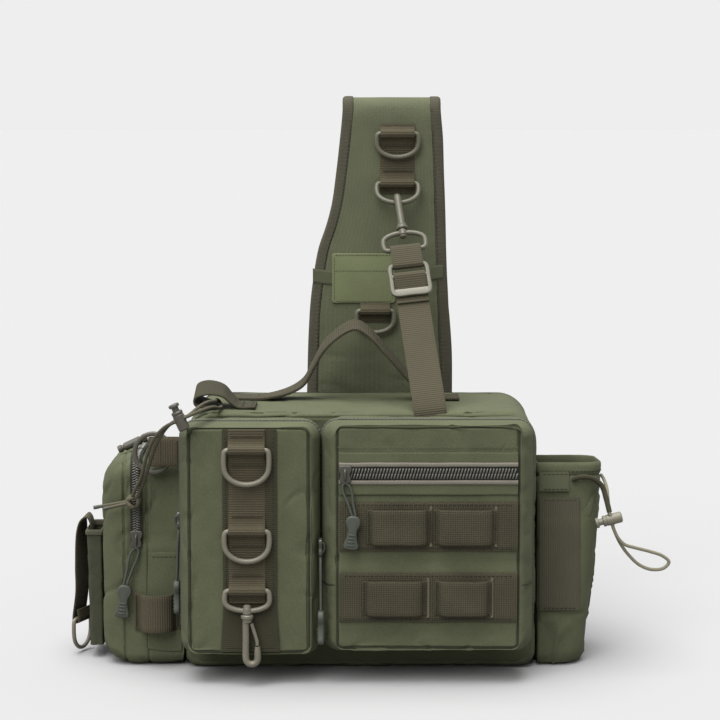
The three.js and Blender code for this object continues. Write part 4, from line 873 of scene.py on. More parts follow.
back = piece(shell("back_pad", PAD, in_pad, "mesh", groove=0.8, roll=0), "back_panel")
quilt(back, 36, 2.6)
rumple(back, 0.8, 40, 5)


# Zippers round the pockets' gussets, between their two sewn grooves
def away_from(middle, reach):
    """The direction away from a box of that reach round the middle."""
    def outward(at):
        off = at - middle
        return unit(off - np.clip(off, -reach, reach))
    return outward


def zipper_tape(name, line, outward, width, thickness):
    following = line[1:] + [2 * line[-1] - line[-2]]
    sides = [np.cross(outward(p), unit(q - p)) for p, q in zip(line, following)]
    return piece(ribbon(name, line, sides, width, "tape", thickness=thickness))


GUSSET_ZIP_W = sum(GUSSET_GROOVES) / 2
for name, size, place, first, last in (
    ("left", LEFT_POCKET, in_left, 0.36, 0.985),
    ("right", RIGHT_POCKET, in_right, 0.30, 0.96),
):
    line = along_shell(size, place, GUSSET_ZIP_W, first, last, out=-0.1)
    tall = size["top"] - size["bottom"]
    core = point(size["width"] / 2 - POCKET_CORNER, 0, tall / 2 - POCKET_CORNER)
    outward = away_from(place(0, size["bottom"] + tall / 2, GUSSET_ZIP_W), core)
    zipper_tape(f"gusset_tape_{name}", line, outward, 5, 0.5)
    spots = spots_on(line, outward, 1.5, slant=0.25, weave=0.7)
    piece(studs(f"gusset_teeth_{name}", spots, (0.9, 1.9, 0.7), "teeth"))

END_ZIP_W = 35.5
END_CORE = 16
line = along_shell(END, in_end, END_ZIP_W, 0.56, 0.828, out=0.2)
end_outward = away_from(
    in_end(0, END_HEIGHT / 2, END_ZIP_W), point(0, END_DEPTH / 2 - END_CORE, END_HEIGHT / 2 - END_CORE))
zipper_tape("end_tape", line, end_outward, 9, 0.6)
spots = []
for n, (at, ahead, out) in enumerate(spots_on(line, end_outward, 0.95)):
    sign = 1 if n % 2 else -1
    aside = sign * unit(np.cross(out, ahead))
    spots.append((at + 1.3 * aside + 0.3 * out, aside + 0.35 * ahead, out))
piece(studs("end_teeth", spots, (3.4, 1.0, 1.0), "teeth"))


def edge_points(corners, shares):
    """Points at those shares of every side, so that a smooth outline stays straight."""
    ring = []
    for n, (x, z) in enumerate(corners):
        ahead = corners[(n + 1) % len(corners)]
        ring += [(x + share * (ahead[0] - x), z + share * (ahead[1] - z)) for share in shares]
    return ring


# A flat pocket with a sewn top edge low on the end pocket's front
PANEL = [
    (-163, 14), (-150, 12), (-137, 12), (-136.5, 50), (-137, 89), (-150, 89.6), (-162, 89), (-163.4, 50),
]
piece(slab("end_flat_pocket", edge_points(PANEL, (0.03, 0.35, 0.65, 0.97)), 1.6, 0.7, "cloth",
           place=shift(0, END_FRONT - 0.2, 0), spacing=1.6))
stitches("flat_pocket_stitches", [
    ([point(x, END_FRONT - 1.05, 86) for x in (-161, -150, -139)], FORWARD),
])

# Sheath for pliers on the end pocket: an open sleeve, bound at its mouth
SHEATH_FACE = END_FACE - SEAM - SHEATH_REACH
SHEATH_LENGTH = SHEATH_TOP - SHEATH_BOTTOM


def sheath_ring(z, wall, taper, out=0.0):
    half = SHEATH_WIDTH / 2 - wall + out
    points = rounded(half, wall - out, SHEATH_REACH - wall - taper + out, 2.2, 3.2, 18, 5)
    return [point(END_FACE - SEAM - v, END_MIDDLE + u, z) for u, v in points]


heights = np.linspace(SHEATH_BOTTOM, SHEATH_TOP, 40)
rows = [sheath_ring(z, 0, 2 * (SHEATH_TOP - z) / SHEATH_LENGTH) for z in heights]
rows += [sheath_ring(SHEATH_TOP + 0.3, 0.7, 0)]
rows += [sheath_ring(z, 1.5, 2 * (SHEATH_TOP - z) / SHEATH_LENGTH) for z in heights[:0:-1]]
sheath = piece(skin("sheath_cloth", rows, "lining"), "plier_sheath")
rumple(sheath, 0.9, 22, 6, creases=0.4)
# Rise over the mouth, wall and distance out of the binding's folds
MOUTH_BINDING = [
    (-3.4, 0, 0.1), (-3.1, 0, 0.5), (-0.6, 0, 0.6), (0.7, 0.4, 0.2), (0.7, 1.2, 0), (-1, 1.7, 0),
    (-3.4, 1.7, 0),
]
rows = [sheath_ring(SHEATH_TOP + rise, wall, 0, out) for rise, wall, out in MOUTH_BINDING]
piece(skin("sheath_binding", rows, "binding", looped=True))

# Bottle pocket: an open tube with a stitched elastic hem
BOTTLE_RISE = [0, 0.05, 0.3, 0.7, 1]
BOTTLE_OUT = [0.66, 0.74, 0.83, 0.96, 1]
BOTTLE_WIDE = [0.93, 1, 1, 0.92, 0.76]


def bottle_place(rise, u, v):
    return point(SIDE + SEAM + v, u, rise * (BOTTLE_HEIGHT - BOTTLE_RIM_SLOPE * u))


def bottle_size(rise):
    return np.interp(rise, BOTTLE_RISE, BOTTLE_OUT), np.interp(rise, BOTTLE_RISE, BOTTLE_WIDE)


def bottle_ring(rise, wall):
    reach, wide = bottle_size(rise)
    points = rounded(
        wide * BOTTLE_DEPTH / 2 - wall, wall, reach * BOTTLE_REACH - wall, 3, BOTTLE_CORNER, 34, 14)
    return [bottle_place(rise, u, v) for u, v in points]


rises = [0, 0.01, 0.025, *np.linspace(0.05, 0.925, 46), 0.93, 0.936, 0.942, 0.96, 0.98, 0.992]
walls = [2.2, 0.8, 0.2, *[0] * 46, 0.5, 0.9, 0.2, -0.2, -0.3, -0.1]
rows = [bottle_ring(r, w) for r, w in zip(rises, walls)]
rows += [bottle_ring(1, 0.5), bottle_ring(1, 1.4), bottle_ring(0.992, 2.1)]
rows += [bottle_ring(r, 2) for r in np.linspace(0.95, 0.02, 30)]
bottle = piece(skin("bottle_pocket_cloth", rows, "cloth"), "bottle_pocket")
rumple(bottle, 3, 44, 7, creases=1.7, stretch=(1, 1, 0.7), calm=[
    ((138, -50, 46), (168, -44, 150)), ((130, -60, 138), (190, 60, 160)),
])
hem_round = rounded(
    0.78 * BOTTLE_DEPTH / 2 + 0.3, -0.3, BOTTLE_REACH * 0.994 + 0.2, 3, BOTTLE_CORNER, 34, 14)
hem = [bottle_place(0.955, u, v) for u, v in hem_round[CORNER_STEPS + 6:]]
centre = point(SIDE + 24, 0, 147)
stitches("hem_stitches", [(hem, lambda at: unit((at - centre) * (1, 1, 0)))], length=2)

# Patches on the bottle pocket's front, of webbing below and cloth above
for name, low, high, width, look in (
    ("bottle_patch_lower", 0.28, 0.83, 31, "ribbed"), ("bottle_patch_upper", 0.86, 0.955, 23, "gusset"),
):
    line = []
    for rise in np.linspace(low, high, 9):
        wide = bottle_size(rise)[1]
        cloth = bottle_place(rise, -wide * BOTTLE_DEPTH / 2, 2 + width / 2)
        line.append(cloth - (SEAM + WEB / 2) * BACKWARD)
    piece(ribbon(f"{name}_web", line, ACROSS, width, look), name)
    rows = []
    for p, rise in ((line[0], 1.8), (line[-1], -1.8)):
        middle = p - 0.9 * BACKWARD + rise * UPWARD
        rows.append(([middle + s * (width / 2 - 1.5) * ACROSS for s in (-1, 0, 1)], FORWARD))
    stitches(f"{name}_stitches", rows, look="base")

# Shoulder strap: padded cloth with a webbing binding along both edges
STRAP_RISE = STRAP_TOP - STRAP_SEWN_AT
STRAP_MID_Y = STRAP_FACE + STRAP_THICKNESS / 2
FOLD_TOP_Z = STRAP_TOP - STRAP_THICKNESS / 2 - STRAP_FOLD
FRONT_LEAF = [
    (0, 1, 1), (0.22, 0.96, 0.98), (0.42, 0.92, 0.94), (0.57, 0.81, 0.91), (0.64, 0.7, 0.9),
    (0.71, 0.62, 0.89), (0.8, 0.56, 0.875), (0.89, 0.51, 0.855),
]
BACK_LEAF = [
    (0.12, 0.45, 0.8, 0.25, 0.08), (0.3, 0.42, 0.76, 0.75, 0.2), (0.5, 0.38, 0.7, 1, 0.4),
    (0.72, 0.3, 0.6, 0.95, 0.7), (0.95, 0.18, 0.42, 0.62, 1),
]
strap_rows = [
    (STRAP_MID_Y, STRAP_SEWN_AT + rise * STRAP_RISE, left_share, right_share, 0)
    for rise, left_share, right_share in FRONT_LEAF
]
for angle in np.linspace(0, math.pi, 5):
    strap_rows.append((
        STRAP_MID_Y + STRAP_FOLD * (1 - math.cos(angle)), FOLD_TOP_Z + STRAP_FOLD * math.sin(angle),
        0.48, 0.83, 0,
    ))
for fall, left_share, right_share, bow, drift in BACK_LEAF:
    strap_rows.append((
        STRAP_MID_Y + 2 * STRAP_FOLD + bow * STRAP_BOW, FOLD_TOP_Z - fall * (FOLD_TOP_Z - STRAP_SEWN_AT),
        left_share, right_share, drift * STRAP_DRIFT,
    ))
strap_line = [
    point(STRAP_MIDDLE + drift + (r - l) * STRAP_HALF_WIDTH / 2, y, z) for y, z, l, r, drift in strap_rows
]
strap_half = [(l + r) * STRAP_HALF_WIDTH / 2 for _, _, l, r, _ in strap_rows]
BINDING = 8.2


def strap_section(half):
    t = STRAP_THICKNESS / 2
    flat = half - BINDING
    inner = np.linspace(-flat, flat, 22)
    near = [(flat + 0.7, t - 0.9), (flat + 3, t - 0.5), (half - 1.6, t - 0.9), (half - 0.2, t - 2.6)]
    right_side = near + [(s, -f) for s, f in near[::-1]]
    left_side = [(-s, f) for s, f in right_side[::-1]]
    top = [(s, t) for s in inner]
    low = [(s, -t) for s in inner[::-1]]
    return np.array([*top, *right_side, *low, *left_side])


def binding_section(sign):
    def section(half):
        outer = [(BINDING, 3.3), (BINDING - 0.5, 3.9), (2.4, 3.9), (0.8, 3.4), (-0.2, 2.2), (-0.4, 0)]
        inner = [(0.4, 0), (1.2, 2.0), (2.4, 2.7), (BINDING, 2.6)]
        loop = outer + [(d, -f) for d, f in outer[-2::-1]]
        loop += [(d, -f) for d, f in inner[::-1]] + inner[1:]
        return np.array([(sign * (half - d), f) for d, f in loop])
    return section


strap = piece(
    sweep("strap_cloth", strap_line, strap_section, "pad", across=ACROSS, wide=strap_half, spacing=2.4),
    "shoulder_strap")
rumple(strap, 0.9, 42, 8, creases=0.5, stretch=(0.7, 0.5, 1.5), calm=[((-26, 50, 236), (52, 65, 418))])
for sign, side in ((-1, "left"), (1, "right")):
    band = sweep(f"strap_binding_{side}", strap_line, binding_section(sign), "binding", across=ACROSS,
                 wide=strap_half, spacing=2)
    piece(wobble(band, 0.35, 30, 9))
    edge = [
        p + sign * (h - BINDING + 1.2) * ACROSS + (STRAP_THICKNESS / 2 + 0.35) * FORWARD
        for p, h in zip(strap_line[:9], strap_half[:9])
    ]
    stitches(f"strap_stitches_{side}", [(edge, FORWARD)], height=0.35)

# Webbing tail from the strap's lower end to the back panel's corner
tail_end = strap_line[-1]
heading = unit(strap_line[-1] - strap_line[-2])
tail_start = tail_end + SEAM * heading
TAIL_FOOT_X = 104
TAIL_FOOT_Z = 26
tail_layer = PAD_FACE + SEAM + WEB / 2
tail_line = [
    tail_start, tail_start + 14 * heading,
    point(TAIL_FOOT_X - 26, (tail_start[1] + tail_layer) / 2 - 2, TAIL_FOOT_Z + 66),
    point(TAIL_FOOT_X - 12, tail_layer, TAIL_FOOT_Z + 32), point(TAIL_FOOT_X, tail_layer, TAIL_FOOT_Z),
]
slant = unit(point(0.9, 0, 0.43))
piece(ribbon("tail_web", tail_line, [ACROSS, ACROSS, slant, slant, slant], 25, "webbing"), "strap_tail")

# A webbing strip with folds that carry bars
WIRE = 2
RING_SHOULDER = 2.6
FOLD_OUT = WIRE + SLACK + WEB / 2


def keeper_line(x, layer, top, bottom, bars):
    line = [point(x, layer, top)]
    for bar in bars:
        line.append(point(x, layer, min(bar + 2.1 * FOLD_OUT, top - 0.5)))
        for angle in np.radians(np.linspace(105, -105, 7)):
            line.append(point(
                x, layer - FOLD_OUT - FOLD_OUT * math.cos(angle), bar + FOLD_OUT * math.sin(angle)))
        line.append(point(x, layer, bar - 2.1 * FOLD_OUT))
    line.append(point(x, layer, bottom))
    return line


def bar_tacks(name, x, layer, heights, width):
    """Close zigzag stitching right across the webbing."""
    spots = []
    for z in heights:
        line = [point(x + s * (width / 2 - 1.5), layer - 0.75, z) for s in (-1, 0, 1)]
        spots += spots_on(line, FORWARD, 1.1)
    upright = [(at, UPWARD, out) for at, _, out in spots]
    return piece(studs(name, upright, (1.8, 0.6, 0.3), "light_webbing"))


def ring_line(half, height, bowl):
    line = [
        point(-half + RING_SHOULDER, 0, 0), point(-half / 3, 0, 0), point(half / 3, 0, 0),
        point(half - RING_SHOULDER, 0, 0),
        point(half - 0.75, 0, -0.9), point(half, 0, -1.4 * RING_SHOULDER),
    ]
    for angle in np.linspace(0, math.pi, 9):
        line.append(point(half * math.cos(angle), 0, -(height - bowl) - bowl * math.sin(angle)))
    return line + [point(-half, 0, -1.4 * RING_SHOULDER), point(-half + 0.75, 0, -0.9)]


def ring(name, web, height, bowl, place, look="metal", radius=WIRE, body="bag", node=None):
    half = web / 2 + SLACK + RING_SHOULDER
    made = sweep(name, ring_line(half, height, bowl), circle(radius), look, normal=BACKWARD, spacing=0.8,
                 looped=True, place=place)
    return piece(made, *([node] if node else []), body=body)


# Left pocket: base webbing, ladder webbing and two D rings
LADDER_TOP = LEFT_TOP - 3
BASE_LAYER = POCKET_FACE - SEAM - WEB / 2
LADDER_LAYER = BASE_LAYER - WEB - SEAM
base_line = [point(LADDER_X + 2, BASE_LAYER, z) for z in (LADDER_TOP, 150, 100, 60, LEFT_BOTTOM + 6)]
piece(ribbon("base_web", base_line, ACROSS, [40, 40, 40, 40, 44], "base"), "base_webbing")
LADDER_BARS = (178, 117.5, 73)
line = keeper_line(LADDER_X, LADDER_LAYER, LADDER_TOP, 63, LADDER_BARS)
piece(ribbon("ladder_web", line, ACROSS, 27, "webbing", spacing=0.9), "ladder_webbing")
stitches("base_stitches", [
    ([point(LADDER_X + 2 + side * 17.6, BASE_LAYER - 0.75, z) for z in (190, 120, 62)], FORWARD)
    for side in (-1, 1)
] + [([point(LADDER_X + 2 + s, BASE_LAYER - 0.75, 29) for s in (-19, 0, 19)], FORWARD)])
bar_tacks("ladder_tacks", LADDER_X, LADDER_LAYER, (188, 166.5, 128.5, 106, 84, 65.5), 27)
on_bars = [shift(LADDER_X, LADDER_LAYER - FOLD_OUT, z) for z in LADDER_BARS]
ring("ring_a_wire", 27, 25.5, 13, on_bars[0], body="ring_a", node="d_ring_a")
ring("ring_b_wire", 27, 22.5, 13, on_bars[1], body="ring_b", node="d_ring_b")

# Snap hooks
BOW_HEIGHT = 15
POST = 1.7
COLLAR = 4
BOSS_TOP = -BOW_HEIGHT + 2.5
BOSS_BOTTOM = -BOW_HEIGHT - 2.5
COLLAR_TOP = BOSS_BOTTOM - SEAM
COLLAR_BOTTOM = COLLAR_TOP - 6
SHANK_X = -1
THROAT = 4.3
HOOK_WIRE = 2.2
HOOK_TIP_RISE = 9
TIP_GAP = 1.1
GATE_X = 3.6
GATE_TOP = COLLAR_BOTTOM - 2


def snap_hook(name, reach, bow_place, hook_place, bow_body, hook_body, gate_body, look, wire):
    """A swivel hook of that reach below its bow's bar, with a sprung gate."""
    ring(f"bow_{name}", 27, BOW_HEIGHT, 7, bow_place, look, body=bow_body, node=f"hook_bow_{name}")
    boss = [
        (POST + SEAM, BOSS_BOTTOM), (3.1, BOSS_BOTTOM), (3.5, BOSS_BOTTOM + 0.5), (3.5, BOSS_TOP - 0.5),
        (3.1, BOSS_TOP), (POST + SEAM, BOSS_TOP),
    ]
    piece(lathe(f"boss_{name}", boss, look, place=bow_place), body=bow_body)
    spindle = [
        (0.2, BOSS_TOP + 2.3), (1.6, BOSS_TOP + 2.1), (2.7, BOSS_TOP + 1.4), (3, BOSS_TOP + SEAM),
        (POST, BOSS_TOP + SEAM), (POST, COLLAR_TOP), (COLLAR, COLLAR_TOP),
        (COLLAR + 0.7, COLLAR_TOP - 0.7), (COLLAR + 0.7, COLLAR_TOP - 2.4),
        (COLLAR, COLLAR_TOP - 3.2), (COLLAR - 0.4, COLLAR_TOP - 4.2),
        (COLLAR - 0.4, COLLAR_BOTTOM + 0.6), (COLLAR - 1, COLLAR_BOTTOM), (0.2, COLLAR_BOTTOM),
    ]
    turned_part = lathe(f"spindle_{name}", spindle, look, place=hook_place)
    piece(turned_part, f"snap_hook_{name}", body=hook_body)
    bend = -reach + THROAT
    line = [point(SHANK_X, 0, COLLAR_BOTTOM + 2), point(SHANK_X, 0, (COLLAR_BOTTOM + bend) / 2)]
    for angle in np.linspace(math.pi, 2 * math.pi, 7):
        line.append(point(
            SHANK_X + THROAT + THROAT * math.cos(angle), 0, bend + THROAT * math.sin(angle)))
    tip = SHANK_X + 2 * THROAT
    line += [point(tip, 0, bend + 5), point(tip, 0, bend + HOOK_TIP_RISE)]
    wide = [1] * (len(line) - 2) + [0.96, 0.82]
    piece(sweep(f"hook_wire_{name}", line, circle(wire, 16), look, normal=BACKWARD, wide=wide,
                spacing=0.7, place=hook_place), body=hook_body)
    gate_tip = bend + HOOK_TIP_RISE + TIP_GAP
    line = [
        point(GATE_X - 0.4, 0, GATE_TOP + 1.4), point(GATE_X, 0, GATE_TOP),
        point(tip - 0.4, 0, gate_tip + 3), point(tip - 0.2, 0, gate_tip),
    ]
    piece(sweep(f"gate_{name}", line, block(2.6, 2.8, 0.9), look, normal=BACKWARD, spacing=0.7,
                place=hook_place), f"hook_gate_{name}", body=gate_body)
    pin = hook_place @ shift(GATE_X, 0, GATE_TOP) @ turned("X", QUARTER)
    piece(lathe(f"gate_pin_{name}", [(0.2, -1.9), (0.9, -1.9), (0.9, 1.9), (0.2, 1.9)], look, place=pin),
          body=gate_body)


snap_hook("lower", 55.3, on_bars[2], on_bars[2], "bow", "hook", "gate", "metal", 2.55)

# Right pocket: two rows of webbing with raised loops
BAND_LENGTH = BAND_RIGHT - BAND_LEFT
BAND_LIFT = 5
BAND_SHAPE = [(0.02, 0), (0.05, 0.6), (0.14, 0.95), (0.5, 1), (0.86, 0.95), (0.95, 0.6), (0.98, 0)]
for name, middle_z, loops, posts in (
    ("upper", UPPER_BAND_Z, ((0.177, 0.5), (0.548, 0.865)), (52.4, 100.4)),
    ("lower", LOWER_BAND_Z, ((0.15, 0.475), (0.557, 0.84)), (50.4, 97.8)),
):
    line = [point(x, BASE_LAYER, middle_z) for x in (BAND_LEFT, 20, 80, BAND_RIGHT)]
    strip_web = piece(ribbon(f"band_{name}_web", line, UPWARD, 2 * BAND_HALF, "band"), f"band_{name}")
    wobble(strip_web, 0.25, 28, 11)
    tacks = []
    for n, (start, stop) in enumerate(loops):
        layer = BASE_LAYER - 0.9 * WEB
        line = [point(BAND_LEFT + (start - 0.02) * BAND_LENGTH, layer, middle_z)]
        for share, lift in BAND_SHAPE:
            x = BAND_LEFT + (start + share * (stop - start)) * BAND_LENGTH
            line.append(point(x, layer - lift * BAND_LIFT, middle_z))
        line.append(point(BAND_LEFT + (stop + 0.02) * BAND_LENGTH, layer, middle_z))
        loop = piece(ribbon(f"band_{name}_loop_{n}", line, UPWARD, 26, "band", spacing=1))
        wobble(loop, 0.3, 22, 12 + n)
        for x in (line[0][0] + 1.2, line[-1][0] - 1.2):
            tacks.append(([point(x, layer - 0.8, middle_z + s) for s in (-11.5, 0, 11.5)], FORWARD))
    stitches(f"band_{name}_tacks", tacks, length=1.4, pitch=1.9, width=1.0)
    edges = []
    for z in (middle_z - 16.4, middle_z + 16.4):
        line = [point(x, BASE_LAYER - 0.75, z) for x in (BAND_LEFT + 2, 50, BAND_RIGHT - 2)]
        edges.append((line, FORWARD))
    stitches(f"band_{name}_stitches", edges)
    for n, x in enumerate(posts):
        line = [point(x, BASE_LAYER - WEB / 2 - 0.5, middle_z + z) for z in (-15, -5, 5, 15)]
        piece(ribbon(f"band_{name}_post_{n}", line, ACROSS, 1.9, "post", thickness=0.9, spacing=1))

# Zipper of the right pocket: tape, two rows of teeth and rolled lips
zip_face = POCKET_FACE - SEAM
line = [point(x, zip_face - 0.4, ZIP_Z) for x in (BAND_LEFT, 20, 80, BAND_RIGHT)]
piece(ribbon("zip_tape", line, UPWARD, 17, "tape", thickness=0.8), "front_zipper")
line = [point(x, zip_face - 0.9, ZIP_Z) for x in (BAND_LEFT + 1, 50, BAND_RIGHT - 1)]
rows = []
for n, (at, along, out) in enumerate(spots_on(line, FORWARD, 1.15)):
    side = 1 if n % 2 else -1
    rows.append((at + side * 1.9 * UPWARD, UPWARD + 0.3 * ACROSS, out))
piece(studs("zip_teeth", rows, (4.6, 1.2, 1.3), "teeth", top=0.6))
for name, z in (("upper", ZIP_Z + 6.6), ("lower", ZIP_Z - 6.6)):
    line = [point(x, zip_face - 0.9, z) for x in (BAND_LEFT, 0, 30, 60, 90, BAND_RIGHT)]
    piece(wobble(sweep(f"zip_lip_{name}", line, block(3.4, 2.6, 1.2), "lip", across=UPWARD), 0.3, 20, 14))
    side = 1 if z > ZIP_Z else -1
    line = [p + side * 5.2 * UPWARD + 0.4 * BACKWARD for p in line]
    piece(wobble(ribbon(f"zip_flap_{name}", line, UPWARD, 8, "cloth", thickness=0.9), 0.3, 24, 15))
face = POCKET_FACE - 0.1
stitches("flap_stitches", [
    ([point(x, face - 0.5, z) for x in (BAND_LEFT, 30, 70, BAND_RIGHT)], FORWARD)
    for z in (ZIP_Z + 14.4, ZIP_Z - 15)
])
zigzag = []
for n, x in enumerate(np.arange(BAND_LEFT, BAND_RIGHT, 1.9)):
    zigzag.append((point(x, face, 179), ACROSS + (0.9 if n % 2 else -0.9) * UPWARD, FORWARD))
piece(studs("flap_zigzag", zigzag, (2.6, 0.45, 0.25), "gusset"))

# Rod holder: lower loop, upper keeper, and the side tab with its ring
LOOP_LAYER = END_FRONT - SEAM - WEB / 2
ROD_LOOP = [(0, 0), (0.1, 0), (0.2, 0.7), (0.38, 1), (0.62, 1), (0.8, 0.7), (0.9, 0), (1, 0)]
line = [point(-173 + 35 * share, LOOP_LAYER - 11 * out, 43.5) for share, out in ROD_LOOP]
piece(ribbon("rod_loop_web", line, UPWARD, 29, "webbing", spacing=0.9), "rod_loop_lower")
stitches("rod_loop_stitches", [
    ([point(x, LOOP_LAYER - 0.8, 43.5 + s) for s in (-12.5, 0, 12.5)], FORWARD) for x in (-171.5, -139.5)
], **TACK)
# Share of the keeper's length and of its rise
KEEPER_SHAPE = [
    (0, 0), (0.28, 0), (0.4, 0.35), (0.55, 0.85), (0.82, 1), (0.98, 0.75), (0.97, 0.3), (0.8, 0.06),
    (0.64, 0),
]
line = [point(-80 - 47 * share, -25, TOP_LAYER + 13 * rise) for share, rise in KEEPER_SHAPE]
tilt = [0, 0, 0.06, 0.14, 0.2, 0.2, 0.14, 0.06, 0]
across = [point(0, math.cos(t), math.sin(t)) for t in tilt]
piece(ribbon("rod_keeper_web", line, across, 34, "base", thickness=1.8, spacing=0.9), "rod_keeper_upper")
stitches("rod_keeper_stitches", [
    ([point(x, -25 + s, TOP_LAYER + 0.8) for s in (-15, 0, 15)], UPWARD) for x in (-82.5, -90)
], **TACK)
TAB_FOLD_X = -157
TAB_Z = BODY_HEIGHT - 31
RING_LAYER = END_FRONT - SEAM - WEB - SLACK - WIRE
reach = WIRE + SLACK + WEB / 2
line = [point(-SIDE - SEAM, RING_LAYER + reach, TAB_Z)]
for angle in np.linspace(math.pi / 2, 1.5 * math.pi, 5):
    line.append(point(TAB_FOLD_X + reach * math.cos(angle), RING_LAYER + reach * math.sin(angle), TAB_Z))
line.append(point(-SIDE - SEAM, RING_LAYER - reach, TAB_Z))
piece(ribbon("rod_tab_web", line, UPWARD, 22, "webbing", spacing=0.9), "rod_tab")
stitches("rod_tab_stitches", [
    ([point(x, RING_LAYER - reach - 0.8, TAB_Z + s) for s in (-9, 0, 9)], FORWARD) for x in (-151, -138.5)
], **TACK)
angles = np.linspace(0, 2 * math.pi, 16, endpoint=False)
line = [point(14 * math.cos(a), 0, 14.7 * math.sin(a)) for a in angles]
piece(sweep("rod_ring_plastic", line, block(3.6, 3.4, 1.2), "dark_lock", normal=BACKWARD, spacing=0.8,
            looped=True, place=shift(TAB_FOLD_X, RING_LAYER, TAB_Z - 1)), "rod_ring")
toggle_place = shift(-176, -22, END_HEIGHT + 5.2) @ turned("Y", -0.42) @ turned("Y", QUARTER)
profile = [
    (0.2, -12), (2.4, -12), (2.9, -11.4), (3.0, -9), (2.2, -8.2), (2.2, -7.2), (3.1, -6.4), (3.3, 0),
    (3.4, 6.4), (2.4, 7.2), (2.4, 8.2), (3.5, 9), (3.5, 11.2), (3, 12), (0.2, 12),
]
piece(lathe("toggle_barrel", profile, "dark_lock", place=toggle_place), "rod_toggle")

# Cord locks, each a barrel and a spring plunger
for name, at, lean, look in (
    ("left", (LEFT_GUSSET + SEAM, POCKET_FACE - 6.7, LEFT_TOP + 11), -0.42, "dark_lock"),
    ("right", (SIDE + SEAM + BOTTLE_REACH - 0.6, -45.3, 0.73 * BOTTLE_HEIGHT), -1.83, "pale_lock"),
):
    place = shift(*at) @ turned("Y", lean)
    barrel = [
        (0.2, -15), (2.8, -15), (3.7, -14.7), (4.3, -14), (4.4, -12.6), (4.4, -3.2), (4.0, -2.8),
        (4.0, -2.2), (4.4, -1.8), (4.4, -0.7), (3.9, 0), (2.95, 0), (2.95, -4), (0.2, -4),
    ]
    piece(lathe(f"lock_{name}", barrel, look, place=place, flat=4.15), f"cord_lock_{name}")
    for side in (-1, 1):
        rim = place @ shift(0, 0, -6.45) @ turned("Y", side * QUARTER) @ shift(0, 0, 4.0)
        eyelet = [point(1.5 * math.cos(a), 3.2 * math.sin(a), 0)
                  for a in np.linspace(0, 2 * math.pi, 16, endpoint=False)]
        piece(sweep(f"lock_eye_{name}_{side + 1}", eyelet, circle(0.45), look, normal=UPWARD, spacing=0.5,
                    looped=True, place=rim))
    plunger = [
        (0.2, -0.5), (2.6, -0.5), (2.6, 3.3), (3.4, 3.3), (4.0, 3.7), (4.0, 5.2), (3.5, 5.8), (2.4, 5.9),
        (1.9, 5.6), (0.2, 5.6),
    ]
    piece(lathe(f"plunger_{name}", plunger, look, place=place), f"lock_plunger_{name}",
          body=f"plunger_{name}")

# Webbing over the sheath's mouth, with an oval link at its lower end
PLIER_TURN = 0.4
LINK_WIRE = 1.6
LINK_BAR_Z = 27.5
LINK_X = SHEATH_FACE - 6.5
link_fold = LINK_WIRE + SLACK + WEB / 2
inside = SHEATH_FACE + CLOTH - 0.5 + SEAM + WEB / 2
outside = SHEATH_FACE - SEAM - WEB / 2
plier_rows = [
    (inside, SHEATH_TOP - 12, 0), (inside, SHEATH_TOP + 2, 0), (inside - 1.4, SHEATH_TOP + 6.4, 0),
    ((inside + outside) / 2 - 1.4, SHEATH_TOP + 8.4, 0), (outside - 3, SHEATH_TOP + 6, 0.1),
    (outside - 4.6, SHEATH_TOP - 2, 0.28), (outside - 5.2, 0.7 * SHEATH_TOP, PLIER_TURN),
    (outside - 5.2, 0.5 * SHEATH_TOP, PLIER_TURN),
]
line = [point(x, END_MIDDLE, z) for x, z, _ in plier_rows]
across = [point(math.sin(turn), math.cos(turn), 0) for _, _, turn in plier_rows]
for angle in np.linspace(math.pi, 2 * math.pi, 7):
    off = link_fold * math.cos(angle)
    line.append(point(
        LINK_X + off * math.cos(PLIER_TURN), END_MIDDLE - off * math.sin(PLIER_TURN),
        LINK_BAR_Z + link_fold * math.sin(angle)))
    across.append(across[7])
line.append(line[-1] + point(-1, 0, 8))
across.append(across[7])
piece(ribbon("plier_web", line, across, 20, "light_webbing", spacing=1), "plier_strap")
ring("link_wire", 20, 24, 13, shift(LINK_X, END_MIDDLE, LINK_BAR_Z) @ turned("Z", QUARTER - PLIER_TURN),
     radius=LINK_WIRE, node="plier_link")

# What is sewn on the shoulder strap's front
STRAP_LAYER = STRAP_FACE - SEAM - WEB / 2
PATCH_CORNERS = [(-22.5, 270.8), (28, 270.8), (28, 310.7), (-22.5, 310.7)]
patch_ring = edge_points(PATCH_CORNERS, (0.02, 0.2, 0.4, 0.6, 0.8, 0.98))
piece(slab("patch_cloth", patch_ring, WEB, 0.5, "patch", place=shift(0, STRAP_LAYER, 0), spacing=1.5),
      "strap_patch")
PATCH_FACE = STRAP_LAYER - WEB / 2
frame_lines = []
for n, (x, z) in enumerate(PATCH_CORNERS):
    ahead = PATCH_CORNERS[(n + 1) % 4]
    middle = np.mean(PATCH_CORNERS, axis=0)
    ends = [middle + 0.93 * (np.array(p) - middle) for p in ((x, z), ahead)]
    line = [point(u, PATCH_FACE, v) for u, v in (ends[0], sum(ends) / 2, ends[1])]
    frame_lines.append((line, FORWARD))
frame_lines.append(([point(x, PATCH_FACE, 296.6) for x in (-21.5, 3, 27)], FORWARD))
stitches("patch_stitches", frame_lines, look="cloth", length=1.7, pitch=2.5, width=0.5)
CROSS_BAND = [(-38, 293), (-28, 291.5), (3, 291), (50, 294), (67, 296)]
line = [point(x, STRAP_LAYER + 0.5, z) for x, z in CROSS_BAND]
piece(ribbon("cross_band", line, UPWARD, 11, "gusset", thickness=1.2))

